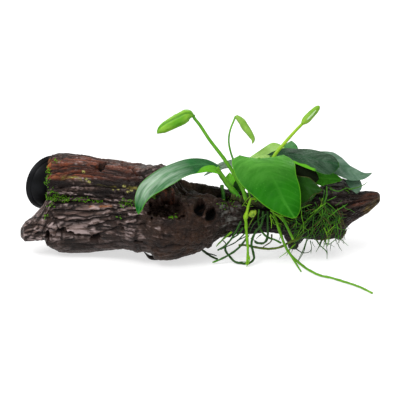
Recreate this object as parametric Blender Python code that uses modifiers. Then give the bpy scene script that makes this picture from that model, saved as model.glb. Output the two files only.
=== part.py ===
"""Anubias nana on driftwood: a small aquarium plant grown on a forked log with a rubber suction cup.

Lengths are in millimetres until a mesh is made. +X runs along the log to its thin end, -Y is the
side with the hollows and the big leaves, and +Z is up. The log stands on the surface at Z = 0.
"""

import math

import bmesh
import bpy
import numpy as np
from mathutils import Matrix, Vector

MM = 0.001
GAP = 0.3
MERGE = 0.000002

# The outline's middle in the sketch that the places below were measured in
MIDDLE_X = -0.5
MIDDLE_Y = -12.1

# Driving dimensions
LOG_LEFT = -144.5
LOG_RIGHT = 143.5
FORK_LEFT = -48.0
FORK_RIGHT = 34.0
TIP_FORK = 112.0
CUP_RADIUS = 22.4
CUP_DEPTH = 14.0
CUP_CENTRE = (-123.2, 29.0, 52.0)
CUP_MOUTH = (-0.643, 0.766, 0.0)
LEAF_THICKNESS = 0.8
SQUARENESS = 0.4
STEM_RADIUS = 1.4

# Wood sections: x, middle y, middle z, half depth, half height
UPPER_ARM = (
    (-122.0, 15, 63.0, 19, 15.0),
    (-114.0, 16, 63.5, 20, 16.0),
    (-106.0, 17, 62.5, 21, 15.5),
    (-94.0, 17, 61.5, 22, 15.0),
    (-82.0, 16, 60.0, 23, 15.0),
    (-70.0, 14, 59.3, 24, 15.0),
    (-60.0, 12, 58.8, 25, 15.0),
    (FORK_LEFT - GAP, 8, 58.5, 27, 15.5),
)
LOWER_ARM = (
    (LOG_LEFT, 2, 19.0, 4, 3.5),
    (-141.0, 2, 20.0, 9, 7.5),
    (-134.0, 3, 22.5, 12, 9.5),
    (-127.0, 5, 25.5, 15, 12.5),
    (-121.0, 8, 26.0, 19, 18.5),
    (-114.0, 12, 24.5, 24, 23.8),
    (-104.0, 14, 24.3, 27, 24.6),
    (-90.0, 14, 24.6, 27, 24.6),
    (-76.0, 10, 26.2, 27, 22.5),
    (-62.0, 6, 28.0, 28, 20.5),
    (FORK_LEFT - GAP, 2, 28.5, 30, 20.0),
)
TRUNK = (
    (FORK_LEFT, 4, 41.0, 33, 34.0),
    (-40.0, -1, 38.2, 34, 37.4),
    (-32.0, -3, 38.2, 35, 38.0),
    (-24.0, -3, 36.9, 34, 36.3),
    (-16.0, -2, 33.5, 32, 31.0),
    (-8.0, -1, 31.9, 30, 27.2),
    (0.0, 1, 32.1, 28, 25.2),
    (8.0, 4, 33.2, 25, 21.6),
    (16.0, 8, 34.0, 23, 18.9),
    (24.0, 11, 32.4, 21, 17.7),
    (FORK_RIGHT - GAP, 13, 31.2, 20, 16.8),
)
RIGHT_BRANCH = (
    (FORK_RIGHT, 13, 31.2, 20, 16.8),
    (42.0, 14, 30.5, 19, 16.4),
    (52.0, 15, 30.7, 18, 15.8),
    (64.0, 16, 29.9, 18, 17.0),
    (78.0, 16, 29.0, 18, 18.6),
    (92.0, 16, 28.8, 18, 20.4),
    (102.0, 16, 29.0, 18, 21.8),
    (TIP_FORK - GAP, 15, 30.2, 17, 20.6),
)
BRANCH_TIP = (
    (TIP_FORK, 15, 30.2, 17, 20.6),
    (117.0, 14, 33.6, 15, 17.0),
    (123.0, 14, 36.4, 13, 12.8),
    (129.0, 13, 38.8, 12, 10.4),
    (136.0, 12, 41.6, 10, 8.6),
    (141.0, 12, 44.0, 7.5, 6.0),
    (LOG_RIGHT, 12, 45.6, 5, 3.2),
)

# The rhizome creeps along the top of the right branch, with a shoot bent down in front
RHIZOME = ((25, 3, 50.5), (34, 0, 49.5), (46, -2, 47.2), (60, -3, 46.2), (74, -2, 46), (88, 0, 46.5))
RHIZOME_SHOOT = ((47, -3, 46.5), (41, -7.5, 42.5), (36.5, -9.5, 38))

# Leaves: places along the midrib from base to tip, half width, direction of the side at
# base and tip, cup (edges up when positive), lobe length and how much of the width the base has.
# SQUARENESS is how far the side is turned square to the midrib.
LEAVES = {
    "left": (((13, 6, 73), (3, 4, 77), (-12, -7, 79.5), (-27, -20, 77.5), (-39, -31, 71.5), (-45.5, -38, 63),
              (-48, -42, 53)), 13.0, (-0.25, -1, 0.05), (0.75, -0.7, -0.35), -0.05, 5, 0.6),
    "front": (((49, -1, 80.5), (54.5, -10, 74.5), (60.5, -19, 67), (66, -29, 58), (74, -37, 47.5)),
              24.0, (1, 0.14, -0.04), (1, 0.1, 0.1), -0.08, 5, 0.85),
    "right": (((57, 22.5, 77.5), (70, 18.5, 80), (84, 14, 79.5), (98, 10, 77.5), (111, 5, 75.5)),
              15.5, (0.1, -0.95, -0.22), (0.25, -0.85, -0.35), -0.08, 4, 0.5),
    "far_right": (((94, 26, 76), (108, 22, 71.5), (121, 17, 66), (130, 14, 64), (138, 14, 66)),
                  9.5, (0.1, -0.8, -0.5), (0.2, -0.8, -0.4), 0.12, 3, 0.7),
    "drooping": (((122, 15, 60), (124, 13, 57.5), (125.5, 11, 54), (126, 9.5, 49.5)),
                 5.5, (-1, 0.1, 0), (-1, 0.2, 0), 0.10, 1, 0.8),
    "back_light": (((73, 34, 73), (61, 35, 75.5), (50, 33, 73.5), (39, 31, 71)),
                   8.0, (-0.1, 0.45, 0.85), (-0.2, 0.5, 0.8), 0.08, 2, 0.6),
    "back_grey": (((72, 46, 66), (73, 48, 71), (74, 50, 75), (75, 52, 79.5)),
                  7.0, (1, 0.1, 0), (1, 0, 0.1), 0.10, 2, 0.7),
    "inner": (((76, 2, 64), (83, -2, 62), (90, -6, 60.5), (98, -10, 60.5)),
              10.0, (0.3, -0.5, -0.8), (0.3, -0.5, -0.8), 0.06, 2, 0.8),
    "inner_dark": (((77, 8, 70), (83, 6.5, 68.5), (89, 5.5, 66.5), (95, 5, 64.5)),
                   4.5, (0, -0.35, -0.93), (0, -0.35, -0.93), 0.0, 1, 0.9),
    "inner_bright": (((94, 16, 61), (101, 15, 60.5), (107, 15, 60), (115, 15, 59.5)),
                     5.6, (0, -0.35, -0.93), (0, -0.35, -0.93), 0.05, 2, 0.8),
    "small_round": (((26, 14, 54), (25, 16, 57), (24, 18, 60), (24, 20, 64)),
                    4.5, (1, 0.2, 0.1), (1, 0.2, 0), 0.15, 1, 0.6),
    "small_dark": (((34, 9, 53), (32, 10, 55), (30, 11, 57.5), (29, 12.5, 60.5)),
                   4.5, (0.8, 0, 0.6), (0.8, 0, 0.5), 0.15, 1, 0.5),
    "back_left": (((31, 36, 66), (23, 35, 65.5), (14, 33, 63), (3, 30, 57)),
                  5.5, (0.1, -0.7, 0.7), (0.2, -0.6, 0.7), 0.10, 2, 0.6),
}
# Rows along and across each blade's grid
LARGE_BLADES = {"left": (12, 6), "front": (11, 6), "right": (10, 6), "far_right": (8, 4), "back_light": (6, 4),
                "inner": (6, 4), "inner_bright": (6, 4)}
SMALL_BLADE = (5, 2)

# Petioles: from the rhizome to the blade's base
PETIOLES = {
    "left": ((31, 1, 49), (28, 3, 53), (22, 4, 60), (16.5, 5.5, 68)),
    "front": ((44.5, -2, 47.5), (44.5, 1, 58), (46, 4, 70), (48.5, 3, 76.5)),
    "right": ((54, -1, 47), (57, 7, 58), (58, 17, 70)),
    "far_right": ((70, 1, 47), (75, 18, 58), (87, 26, 70)),
    "drooping": ((87.5, 1, 47), (98, 3, 53), (108, 7, 57), (116, 11, 60.5), (120.5, 13, 62.5)),
    "back_light": ((64, 1, 47), (70, 20, 57), (75, 31, 66)),
    "back_grey": ((60, 1, 47), (65, 22, 52), (70, 38, 58)),
    "inner": ((76, -1, 46.5), (76.5, 4, 53), (75, 5.5, 60)),
    "inner_dark": ((81, 2, 47), (80, 7, 56), (77, 9.5, 64)),
    "inner_bright": ((86, 3, 47.5), (89, 12, 53), (91, 16, 57)),
    "small_round": ((27.5, 5, 50.5), (25, 8, 53), (25, 12, 53.5)),
    "small_dark": ((36, 3, 49), (36.5, 6, 51), (36, 8, 52)),
    "back_left": ((43.5, 3, 47.5), (42, 16, 54), (37, 30, 62)),
}

# Flower stalks and the spathes they carry: axis points from base to tip, greatest radius
PEDUNCLES = {
    "left": ((36.5, -1, 49), (34, 0.5, 57), (27, 1.5, 70), (18, 5, 83), (8, 10, 95), (0, 15, 106), (-4.5, 18, 111)),
    "middle": ((40.5, 1, 48.5), (36.5, 4, 62), (29, 8, 74), (25, 11, 83), (23, 15, 92), (24, 19, 100), (27, 23, 107)),
    "right": ((50, 0, 48), (54, 5, 66), (58.5, 9, 81), (69, 14.5, 93), (77, 18.5, 101), (81, 20.5, 104.5)),
}
SPATHES = {
    "left": (((-5.5, 19, 112.3), (-12, 18.5, 111), (-21, 17, 106.7), (-29, 15.5, 102.7), (-35.5, 14.5, 99.6)), 5.6),
    "middle": (((29, 24, 109), (33, 23, 107), (37.5, 20, 101), (41, 16.5, 95), (42.5, 13, 90)), 3.9),
    "right": (((82.5, 21, 106), (86, 22.5, 109.5), (90, 24.5, 113), (93.5, 26, 116.5), (96, 27, 119)), 3.6),
}
SPADIX_RIGHT = ((83.5, 19.2, 107.3), (88.5, 19.6, 112.5), (92.5, 22, 116.4))
SPADIX_RADIUS = 0.9

# Roots: places from the rhizome outwards, start radius, end radius
ROOTS = {
    "root_long_floor": (((58, -6.5, 42), (61, -11, 33.5), (64.5, -14, 24), (68, -15.5, 15), (72, -16.5, 8),
                         (79, -19, 1.7), (86, -33, 1.7), (94, -43, 1.6), (103, -48, 1.5), (111, -54, 1.5),
                         (123, -64, 1.4), (133, -76, 1.3)), 1.5, 1.0),
    "root_vertical": (((36.5, -11, 36), (37, -14.5, 26), (38, -18, 16), (38, -22, 7), (37, -24, 2.0)), 1.3, 1.0),
    "root_loop": (((50.5, -7.5, 41.5), (49, -12, 32), (44, -14.5, 26), (41, -17, 18), (42.5, -18, 10), (43, -19, 5),
                   (39, -20, 1.6), (33, -20, 1.5), (28, -18, 2), (24, -15, 5), (20.5, -14.5, 10), (20.5, -14.5, 15)),
                  1.1, 0.9),
    "root_lower_left": (((37, -13, 20), (32, -15, 14), (26, -17, 9.5), (18, -18, 5), (10, -18.5, 1.6)), 1.0, 0.8),
    "root_under_trunk": (((2, 7, 1.2), (6, -1, 1.2), (11, -8, 1.2), (14, -11, 1.2)), 0.9, 0.8),
    "root_long_brown": (((31, -11.5, 13.5), (37, -12.5, 14), (42, -13, 13), (48, -13.5, 12), (55, -13.5, 11.3),
                         (64, -12.5, 12.3), (72, -11, 16), (79, -11.5, 20), (84, -12, 24)), 1.0, 1.3),
    "root_hook": (((54, -8, 41.5), (54, -12, 32), (54, -14.5, 23), (51, -16, 17.5), (46, -16.5, 17.5),
                   (43.5, -15.5, 18.8)), 1.0, 0.8),
    "root_green": (((47.2, -6.5, 42.5), (46.5, -8.5, 34), (48.5, -10, 27), (53, -11, 21), (60, -12, 18.5),
                    (65, -13, 16)), 0.9, 0.8),
    "root_fork": (((61, -7, 44), (65, -11.5, 39), (68, -15, 34), (70.5, -17, 29), (74, -18, 21.5)), 1.2, 0.9),
    "root_short_left": (((33, -8, 33), (27, -13, 23), (21, -16, 16), (14, -17, 11.5)), 0.9, 0.7),
}

# The side root that leaves the long one above the surface
SIDE_ROOT = ((70.5, -16.2, 11), (73, -18.5, 7), (76, -22.5, 3.4), (78, -27, 1.5), (80, -35, 1.2))

# The mat of fine roots over the front of the right branch, and its hanging strands:
# sections as for the wood, then each strand from its root in the mat to its tip
ROOT_MAT = (
    (70.0, 8, 24, 13, 12), (75.0, 8, 25, 16, 17), (82.0, 7, 25, 17.5, 19), (91.0, 7, 25, 17.5, 20),
    (99.0, 7, 27, 17.5, 23), (107.0, 8, 29, 16, 22), (114.0, 9, 31, 12, 15),
)
MAT_STRANDS = (
    ((86, -1, 14), (80, -13, 4)),
    ((91, -1, 14), (91, -15, 7)),
    ((96, -1, 13), (104, -18, 3.5)),
    ((100, 0, 14), (96, -14, 9)),
    ((110, 0, 18), (121, -11, 13)),
    ((77, 0, 14), (65, -9, 5)),
)

# Moss cushions on the wood: middle and half sizes
MOSS = {
    "moss_left_edge": ((-121, -4.5, 59.5), (3.0, 3.5, 7.0)),
    "moss_crack": ((-107, -6.0, 51.5), (13, 4.5, 4.0)),
    "moss_fork": ((-59, -14, 50), (6, 4.5, 4.5)),
    "moss_burl": ((-23, -33, 47.5), (4.5, 4, 3.2)),
    "moss_rhizome": ((11, -8, 52), (6.5, 4, 3.2)),
}

parts = bpy.data.collections.new("anubias_nana_on_driftwood")
cutters = bpy.data.collections.new("cutters")


def clear_scene():
    """Empties the scene and puts in the two collections."""
    for obj in list(bpy.data.objects):
        bpy.data.objects.remove(obj, do_unlink=True)
    bpy.context.scene.collection.children.link(parts)
    bpy.context.scene.collection.children.link(cutters)
    cutters.hide_render = True


def material(name, colour, roughness, metallic=0.0):
    """A Principled BSDF with one colour."""
    made = bpy.data.materials.new(name)
    made.use_nodes = True
    shader = made.node_tree.nodes["Principled BSDF"]
    shader.inputs["Base Color"].default_value = (*colour, 1.0)
    shader.inputs["Roughness"].default_value = roughness
    shader.inputs["Metallic"].default_value = metallic
    return made


def add_object(name, mesh, finish, collection=parts):
    """Links a mesh or curve as a named object with its material."""
    obj = bpy.data.objects.new(name, mesh)
    collection.objects.link(obj)
    if finish:
        mesh.materials.append(finish)
    return obj


def place(point):
    """A sketch point in millimetres as a Vector in metres about the object's own origin."""
    x, y, z = point
    return Vector((x - MIDDLE_X, y - MIDDLE_Y, z)) * MM


def smooth_path(points, count):
    """Points evenly spaced in parameter on a Catmull-Rom curve through the given points."""
    given = np.array(points, float)
    padded = np.vstack([2 * given[0] - given[1], given, 2 * given[-1] - given[-2]])
    spans = len(given) - 1
    place_on = np.linspace(0, spans, count)
    start = np.minimum(place_on.astype(int), spans - 1)
    t = (place_on - start)[:, None]
    a, b, c, d = (padded[start + k] for k in range(4))
    return 0.5 * (2 * b + (c - a) * t + (2 * a - 5 * b + 4 * c - d) * t**2 + (3 * b - a - 3 * c + d) * t**3)


def short_of(before, end, distance):
    """The point that lies distance short of end on the straight line from before."""
    start, stop = Vector(before), Vector(end)
    return tuple(stop - (stop - start).normalized() * distance)


def made_mesh(obj):
    """Replaces an object's data by its evaluated mesh, with doubles merged and modifiers dropped."""
    bpy.context.view_layer.update()
    evaluated = obj.evaluated_get(bpy.context.evaluated_depsgraph_get())
    mesh = bpy.data.meshes.new_from_object(evaluated)
    shape = bmesh.new()
    shape.from_mesh(mesh)
    shape.transform(obj.matrix_world)
    bmesh.ops.remove_doubles(shape, verts=shape.verts, dist=MERGE)
    bmesh.ops.dissolve_degenerate(shape, edges=shape.edges, dist=MERGE)
    shape.to_mesh(mesh)
    shape.free()
    name = obj.name
    bpy.data.objects.remove(obj, do_unlink=True)
    return add_object(name, mesh, None)


def boolean(obj, cutter, operation):
    """Joins or cuts obj with cutter and takes the result as obj's mesh. The cutter goes."""
    change = obj.modifiers.new(operation.lower(), "BOOLEAN")
    change.operation = operation
    change.solver = "EXACT"
    change.object = cutter
    result = made_mesh(obj)
    bpy.data.objects.remove(cutter, do_unlink=True)
    return result


def grown_copy(obj, gap):
    """A copy of obj grown by gap along its vertex normals, as a cutter."""
    mesh = obj.data.copy()
    shape = bmesh.new()
    shape.from_mesh(mesh)
    shape.normal_update()
    for corner in shape.verts:
        corner.co += corner.normal * gap * MM * max(1.0, corner.calc_shell_factor())
    shape.to_mesh(mesh)
    shape.free()
    copy = add_object(obj.name + "_cutter", mesh, None, cutters)
    copy.hide_render = True
    copy.display_type = "WIRE"
    return copy


def keep_clear(name, others, gap=GAP):
    """Cuts the named piece back from its neighbours, so that a small gap stays between them."""
    obj = bpy.data.objects[name]
    for other in others:
        obj = boolean(obj, grown_copy(bpy.data.objects[other], gap), "DIFFERENCE")
    return obj


def section_loft(name, sections, sides, finish, ridges=0.0, roundness=2.3, seed=0):
    """A loft along X through upright oval sections, with ridges that follow the grain."""
    turn = np.linspace(0, 2 * math.pi, sides, endpoint=False)
    phase = np.random.default_rng(seed).uniform(0, 2 * math.pi, 3)
    shape = bmesh.new()
    rings = []
    for x, y, z, half_depth, half_height in sections:
        oval = (np.abs(np.cos(turn)) ** roundness + np.abs(np.sin(turn)) ** roundness) ** (-1 / roundness)
        wave = np.sin(7 * turn + phase[0] + 0.02 * x) + 0.7 * np.sin(11 * turn + phase[1] - 0.03 * x)
        reach = oval * (1 + ridges / max(half_depth, half_height, 12) * wave)
        ring = [shape.verts.new(place((x, y + half_depth * c, z + half_height * s)))
                for c, s in zip(reach * np.cos(turn), reach * np.sin(turn))]
        rings.append(ring)
    for first, second in zip(rings, rings[1:]):
        for k in range(sides):
            after = (k + 1) % sides
            shape.faces.new((first[k], first[after], second[after], second[k]))
    shape.faces.new(rings[0][::-1])
    shape.faces.new(rings[-1])
    bmesh.ops.recalc_face_normals(shape, faces=shape.faces)
    mesh = bpy.data.meshes.new(name)
    shape.to_mesh(mesh)
    shape.free()
    return add_object(name, mesh, finish)


def blob(name, middle, half_sizes, finish, turn=(0, 0, 0), fineness=2):
    """A ball stretched to the half sizes and turned by angles in degrees."""
    shape = bmesh.new()
    bmesh.ops.create_icosphere(shape, subdivisions=fineness, radius=1.0)
    shape.transform(Matrix.Diagonal((*(size * MM for size in half_sizes), 1)))
    for angle, axis in zip(turn, "XYZ"):
        shape.transform(Matrix.Rotation(math.radians(angle), 4, axis))
    shape.transform(Matrix.Translation(place(middle)))
    mesh = bpy.data.meshes.new(name)
    shape.to_mesh(mesh)
    shape.free()
    return add_object(name, mesh, finish)


def cone(name, start, end, start_radius, end_radius, finish, sides=8):
    """A cone frustum between two points."""
    first, last = place(start), place(end)
    along = last - first
    shape = bmesh.new()
    bmesh.ops.create_cone(shape, cap_ends=True, segments=sides, radius1=start_radius * MM,
                          radius2=end_radius * MM, depth=along.length)
    shape.transform(along.to_track_quat("Z", "Y").to_matrix().to_4x4())
    shape.transform(Matrix.Translation((first + last) / 2))
    mesh = bpy.data.meshes.new(name)
    shape.to_mesh(mesh)
    shape.free()
    return add_object(name, mesh, finish)


def tube(name, points, start_radius, end_radius, finish, count=8, bulge=None):
    """A bevelled curve through the points, its radius running from start to end."""
    route = smooth_path(points, count)
    curve = bpy.data.curves.new(name, "CURVE")
    curve.dimensions = "3D"
    curve.bevel_depth = MM
    curve.bevel_resolution = 1
    curve.use_fill_caps = True
    line = curve.splines.new("POLY")
    line.points.add(count - 1)
    for k, (point, spot) in enumerate(zip(route, line.points)):
        share = k / (count - 1)
        spot.co = (*place(point), 1)
        spot.radius = start_radius + (end_radius - start_radius) * share
        if bulge:
            spot.radius = bulge(share)
    return made_mesh(add_object(name, curve, finish))


def blade_width(t, peak, base_share):
    """Half width along the midrib as a share of the greatest: round base, widest at peak, pointed tip."""
    rise = base_share + (1 - base_share) * np.sin(0.5 * math.pi * np.minimum(t / peak, 1))
    fall = np.clip((t - peak) / (1 - peak), 0, 1)
    return rise * (1 - fall**2.5) + 0.03


def leaf_blade(name, midrib, half_width, side_base, side_tip, cup, lobe, base_share, rows, columns, finish):
    """A grid bent to the midrib, as wide as blade_width says, thickened by Solidify."""
    shape = bmesh.new()
    bmesh.ops.create_grid(shape, x_segments=rows, y_segments=columns, size=1.0)
    route = smooth_path(midrib, 60)
    along = np.gradient(route, axis=0)
    along /= np.linalg.norm(along, axis=1)[:, None]
    for corner in shape.verts:
        t = 0.5 * (corner.co.x + 1)
        s = corner.co.y
        k = min(59, round(59 * t))
        side = np.array(side_base) * (1 - t) + np.array(side_tip) * t
        side -= along[k] * side.dot(along[k]) * SQUARENESS
        side /= np.linalg.norm(side)
        up = np.cross(along[k], side)
        up *= math.copysign(1, up[2] - 0.5 * up[1])
        width = half_width * blade_width(t, 0.36, base_share)
        point = route[k] + side * s * width + up * cup * width * s * s
        point -= along[k] * lobe * abs(s) ** 1.6 * (1 - t) ** 3
        corner.co = place(point)
    mesh = bpy.data.meshes.new(name)
    shape.to_mesh(mesh)
    shape.free()
    blade = add_object(name, mesh, finish)
    shell = blade.modifiers.new("thickness", "SOLIDIFY")
    shell.thickness = LEAF_THICKNESS * MM
    shell.offset = 0
    return made_mesh(blade)


def make_wood(finish):
    """The forked log in its pieces, with hollows cut into the trunk."""
    section_loft("driftwood_upper_arm", UPPER_ARM, 26, finish, ridges=0.8, roundness=3.0, seed=1)
    section_loft("driftwood_lower_arm", LOWER_ARM, 26, finish, ridges=0.9, roundness=2.5, seed=2)
    trunk = section_loft("driftwood_trunk", TRUNK, 32, finish, ridges=0.9, seed=3)
    for middle, half_sizes, turn in (
        ((-25, -33, 56), (13, 14, 9), (-20, 8, 0)),
        ((0, -21, 49), (4.6, 11, 6), (-20, 0, 0)),
        ((8.6, -19, 42.8), (4.6, 10, 5.6), (-20, 0, 0)),
        ((9, 4, 57), (24, 8, 13), (0, 13, 10)),
    ):
        trunk = boolean(trunk, blob("hollow", middle, half_sizes, None, turn), "DIFFERENCE")
    thorn = cone("thorn", (-33, -11, 4.5), (-45, -11, 7.5), 4.0, 0.5, None)
    boolean(trunk, thorn, "UNION")
    section_loft("driftwood_right_branch", RIGHT_BRANCH, 24, finish, ridges=0.8, seed=4)
    tip = section_loft("driftwood_branch_tip", BRANCH_TIP, 22, finish, ridges=0.5, seed=5)
    boolean(tip, blob("knob", (117.5, 7, 16), (5, 5.5, 5), None, fineness=1), "UNION")
    cone("driftwood_peg", (77, 15, 16), (76, 14, -2), 8.5, 4.2, finish, sides=10)
    cone("driftwood_back_stub", (109, 22, 40), (110.5, 25, 55.5), 13, 7.5, finish, sides=12)
    for name in ("driftwood_peg", "driftwood_back_stub"):
        keep_clear(name, ["driftwood_right_branch"])
    keep_clear("driftwood_back_stub", ["driftwood_branch_tip"])


def trim_wood():
    """The slanted saw cut behind the left end, the gap between the arms and flat feet."""
    mouth = Vector(CUP_MOUTH)
    for name in ("driftwood_upper_arm", "driftwood_lower_arm"):
        block = cone("saw_cut", (0, 0, 0), (0, 0, 90), 70, 70, None, sides=4)
        shape = bmesh.new()
        shape.from_mesh(block.data)
        shape.transform(Matrix.Translation(-place((0, 0, 45))))
        shape.transform(Matrix.Rotation(math.radians(45), 4, "Z"))
        shape.transform(Matrix.Rotation(math.atan2(mouth.y, mouth.x), 4, "Z"))
        half_side = 70 * MM / math.sqrt(2)
        face = place(CUP_CENTRE) - mouth * (CUP_DEPTH + GAP) * MM
        low = 45 if name.endswith("upper_arm") else 74
        shape.transform(Matrix.Translation(face + mouth * half_side + Vector((0, 0, low - CUP_CENTRE[2])) * MM))
        shape.to_mesh(block.data)
        shape.free()
        boolean(bpy.data.objects[name], block, "DIFFERENCE")
    keep_clear("driftwood_lower_arm", ["driftwood_upper_arm"])
    for name in ("driftwood_lower_arm", "driftwood_trunk", "driftwood_peg"):
        ground = cone("ground", (0, 0, -20), (0, 0, 0), 300, 300, None, sides=4)
        boolean(bpy.data.objects[name], ground, "DIFFERENCE")


def make_cup(finish):
    """A turned rubber cup: neck, domed back, thin skirt and a shallow hollow mouth."""
    rim = CUP_RADIUS
    profile = ((0, -CUP_DEPTH), (6, -CUP_DEPTH), (6.3, -9.5), (11, -8.0), (17, -5.2), (rim - 0.6, -1.4), (rim, 0),
               (rim - 3, 0), (13, -2.2), (0, -3.2))
    shape = bmesh.new()
    corners = [shape.verts.new((r * MM, 0, h * MM)) for r, h in profile[::-1]]
    for first, second in zip(corners, corners[1:]):
        shape.edges.new((first, second))
    mesh = bpy.data.meshes.new("suction_cup")
    shape.to_mesh(mesh)
    shape.free()
    cup = add_object("suction_cup", mesh, finish)
    turned = cup.modifiers.new("turned", "SCREW")
    turned.steps = turned.render_steps = 28
    turned.use_merge_vertices = True
    turned.merge_threshold = 0.0000001
    cup.matrix_world = (Matrix.Translation(place(CUP_CENTRE))
                        @ Vector(CUP_MOUTH).to_track_quat("Z", "Y").to_matrix().to_4x4())
    made_mesh(cup)


def make_rhizome(finish):
    """The creeping stem with its short shoot, seated on the wood."""
    rhizome = tube("rhizome", RHIZOME, 3.6, 4.0, finish, count=10)
    shoot = tube("shoot", RHIZOME_SHOOT, 3.4, 2.6, None, count=5)
    boolean(rhizome, shoot, "UNION")
    keep_clear("rhizome", ["driftwood_trunk", "driftwood_right_branch"])


def make_leaves(blade_finish, stalk_finish):
    """Each leaf is a blade and the petiole that carries it."""
    for name, (midrib, half_width, side_base, side_tip, cup, lobe, share) in LEAVES.items():
        rows, columns = LARGE_BLADES.get(name, SMALL_BLADE)
        blade = "leaf_" + name
        leaf_blade(blade, midrib, half_width, side_base, side_tip, cup, lobe, share, rows, columns, blade_finish)
        stalk = "petiole_" + name
        route = (*PETIOLES[name], short_of(PETIOLES[name][-1], midrib[0], 1.8))
        thick = STEM_RADIUS if name in LARGE_BLADES else 0.8 * STEM_RADIUS
        tube(stalk, route, 1.3 * thick, 0.7 * thick, stalk_finish, count=6)
        keep_clear(stalk, ["rhizome", blade])


def spathe_radius(greatest):
    """A radius that swells quickly from the stalk and runs out in a point."""
    return lambda t: greatest * (0.22 + 0.78 * math.sin(math.pi * min(1, t * 1.02)) ** 0.75) * (1 - 0.55 * t**2)


def make_flowers(spathe_finish, stalk_finish, spadix_finish):
    """Closed spathes on their stalks, the right one with its spadix showing."""
    for name, (axis, greatest) in SPATHES.items():
        spathe = "spathe_" + name
        tube(spathe, axis, 0, 0, spathe_finish, count=9, bulge=spathe_radius(greatest))
        stalk = "peduncle_" + name
        route = (*PEDUNCLES[name], short_of(PEDUNCLES[name][-1], axis[0], 0.8))
        tube(stalk, route, 1.3, 1.0, stalk_finish, count=10)
        keep_clear(stalk, ["rhizome", spathe])
    tube("spadix_right", SPADIX_RIGHT, SPADIX_RADIUS, 0.6, spadix_finish, count=5)
    keep_clear("spadix_right", ["spathe_right"])


def make_small_growth(bud_finish, stalk_finish):
    """The curled young leaf by the shoot, and the stub of a cut petiole."""
    blob("young_leaf", (41.5, -11.5, 41), (4.4, 2.6, 2.8), bud_finish, (0, -25, 0))
    keep_clear("young_leaf", ["rhizome"])
    tube("cut_petiole_stub", ((19, 2, 50), (18.5, 1.5, 54), (17.5, 1, 60)), 1.6, 1.9, stalk_finish, count=4)
    keep_clear("cut_petiole_stub", ["driftwood_trunk"])


def make_roots(finish):
    """The main roots, from the rhizome down to the surface."""
    for name, (route, start_radius, end_radius) in ROOTS.items():
        root = tube(name, route, start_radius, end_radius, finish, count=max(8, 2 * len(route)))
        if name == "root_long_floor":
            boolean(root, tube("side_root", SIDE_ROOT, 1.2, 0.8, None, count=6), "UNION")
        keep_clear(name, ["rhizome"])


def make_root_mat(finish):
    """The mat of fine roots wrapped round the branch's front, with its hanging strands."""
    mat = section_loft("root_mat", ROOT_MAT, 16, finish, ridges=1.0, roundness=2.0, seed=6)
    for start, end in MAT_STRANDS:
        mat = boolean(mat, cone("strand", start, end, 2.6, 0.7, None, sides=7), "UNION")
    room = (*RHIZOME, (90.5, 0.2, 46.7))
    boolean(mat, tube("rhizome_room", room, 3.9 + GAP, 4.3 + GAP, None, count=12), "DIFFERENCE")
    keep_clear("root_mat", ["driftwood_right_branch", "driftwood_branch_tip", "driftwood_peg"], 1.7 * GAP)
    keep_clear("root_long_brown", ["root_mat"])


def make_moss(finish):
    """Moss cushions seated on the wood."""
    wood = ("driftwood_upper_arm", "driftwood_lower_arm", "driftwood_trunk")
    for name, (middle, half_sizes) in MOSS.items():
        blob(name, middle, half_sizes, finish)
        keep_clear(name, wood)


def shade_all():
    """Smooth shading with sharp edges kept on the sawn ends."""
    for obj in parts.objects:
        obj.data.shade_smooth()
        obj.data.set_sharp_from_angle(angle=math.radians(50))


clear_scene()
wood = material("driftwood", (0.10, 0.065, 0.05), 0.45)
rubber = material("black_rubber", (0.012, 0.013, 0.015), 0.3)
blade = material("leaf_green", (0.07, 0.26, 0.04), 0.35)
stalk = material("stalk_green", (0.20, 0.45, 0.05), 0.4)
spathe = material("spathe_green", (0.30, 0.55, 0.10), 0.45)
spadix = material("spadix_pale", (0.60, 0.80, 0.55), 0.6)
root = material("root_green", (0.14, 0.32, 0.04), 0.5)
moss = material("moss_green", (0.20, 0.42, 0.03), 0.9)
make_wood(wood)
make_cup(rubber)
trim_wood()
make_rhizome(stalk)
make_leaves(blade, stalk)
make_flowers(spathe, stalk, spadix)
make_small_growth(stalk, stalk)
make_roots(root)
make_root_mat(root)
make_moss(moss)
shade_all()
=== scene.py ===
"""The looks of the anubias nana on driftwood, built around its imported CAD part.

Places and sizes are in millimetres in the sketch frame of the part's source: +X to the wood's thin
end, -Y to the viewer and +Z up. placed() turns them into the part's own metres.
"""

import math

import bmesh
import bpy
import numpy as np
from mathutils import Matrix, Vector


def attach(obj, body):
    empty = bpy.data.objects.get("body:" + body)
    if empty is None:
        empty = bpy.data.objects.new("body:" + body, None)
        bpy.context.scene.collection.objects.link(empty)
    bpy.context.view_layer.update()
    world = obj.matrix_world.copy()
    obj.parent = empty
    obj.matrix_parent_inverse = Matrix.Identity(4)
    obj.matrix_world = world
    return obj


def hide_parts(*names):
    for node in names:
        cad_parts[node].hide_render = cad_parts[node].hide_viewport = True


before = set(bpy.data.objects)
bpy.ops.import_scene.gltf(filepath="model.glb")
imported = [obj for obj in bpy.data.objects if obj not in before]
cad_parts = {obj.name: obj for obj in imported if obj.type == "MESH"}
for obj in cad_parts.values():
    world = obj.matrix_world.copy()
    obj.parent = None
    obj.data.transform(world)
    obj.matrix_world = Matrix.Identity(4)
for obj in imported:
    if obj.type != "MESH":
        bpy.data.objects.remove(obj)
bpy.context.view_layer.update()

# A millimetre in metres, the part's middle in the sketch frame, and how near two points count as one
MM = 0.001
MIDDLE = np.array([-0.5, -12.1, 0.0])
MERGE = 0.000002

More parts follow.
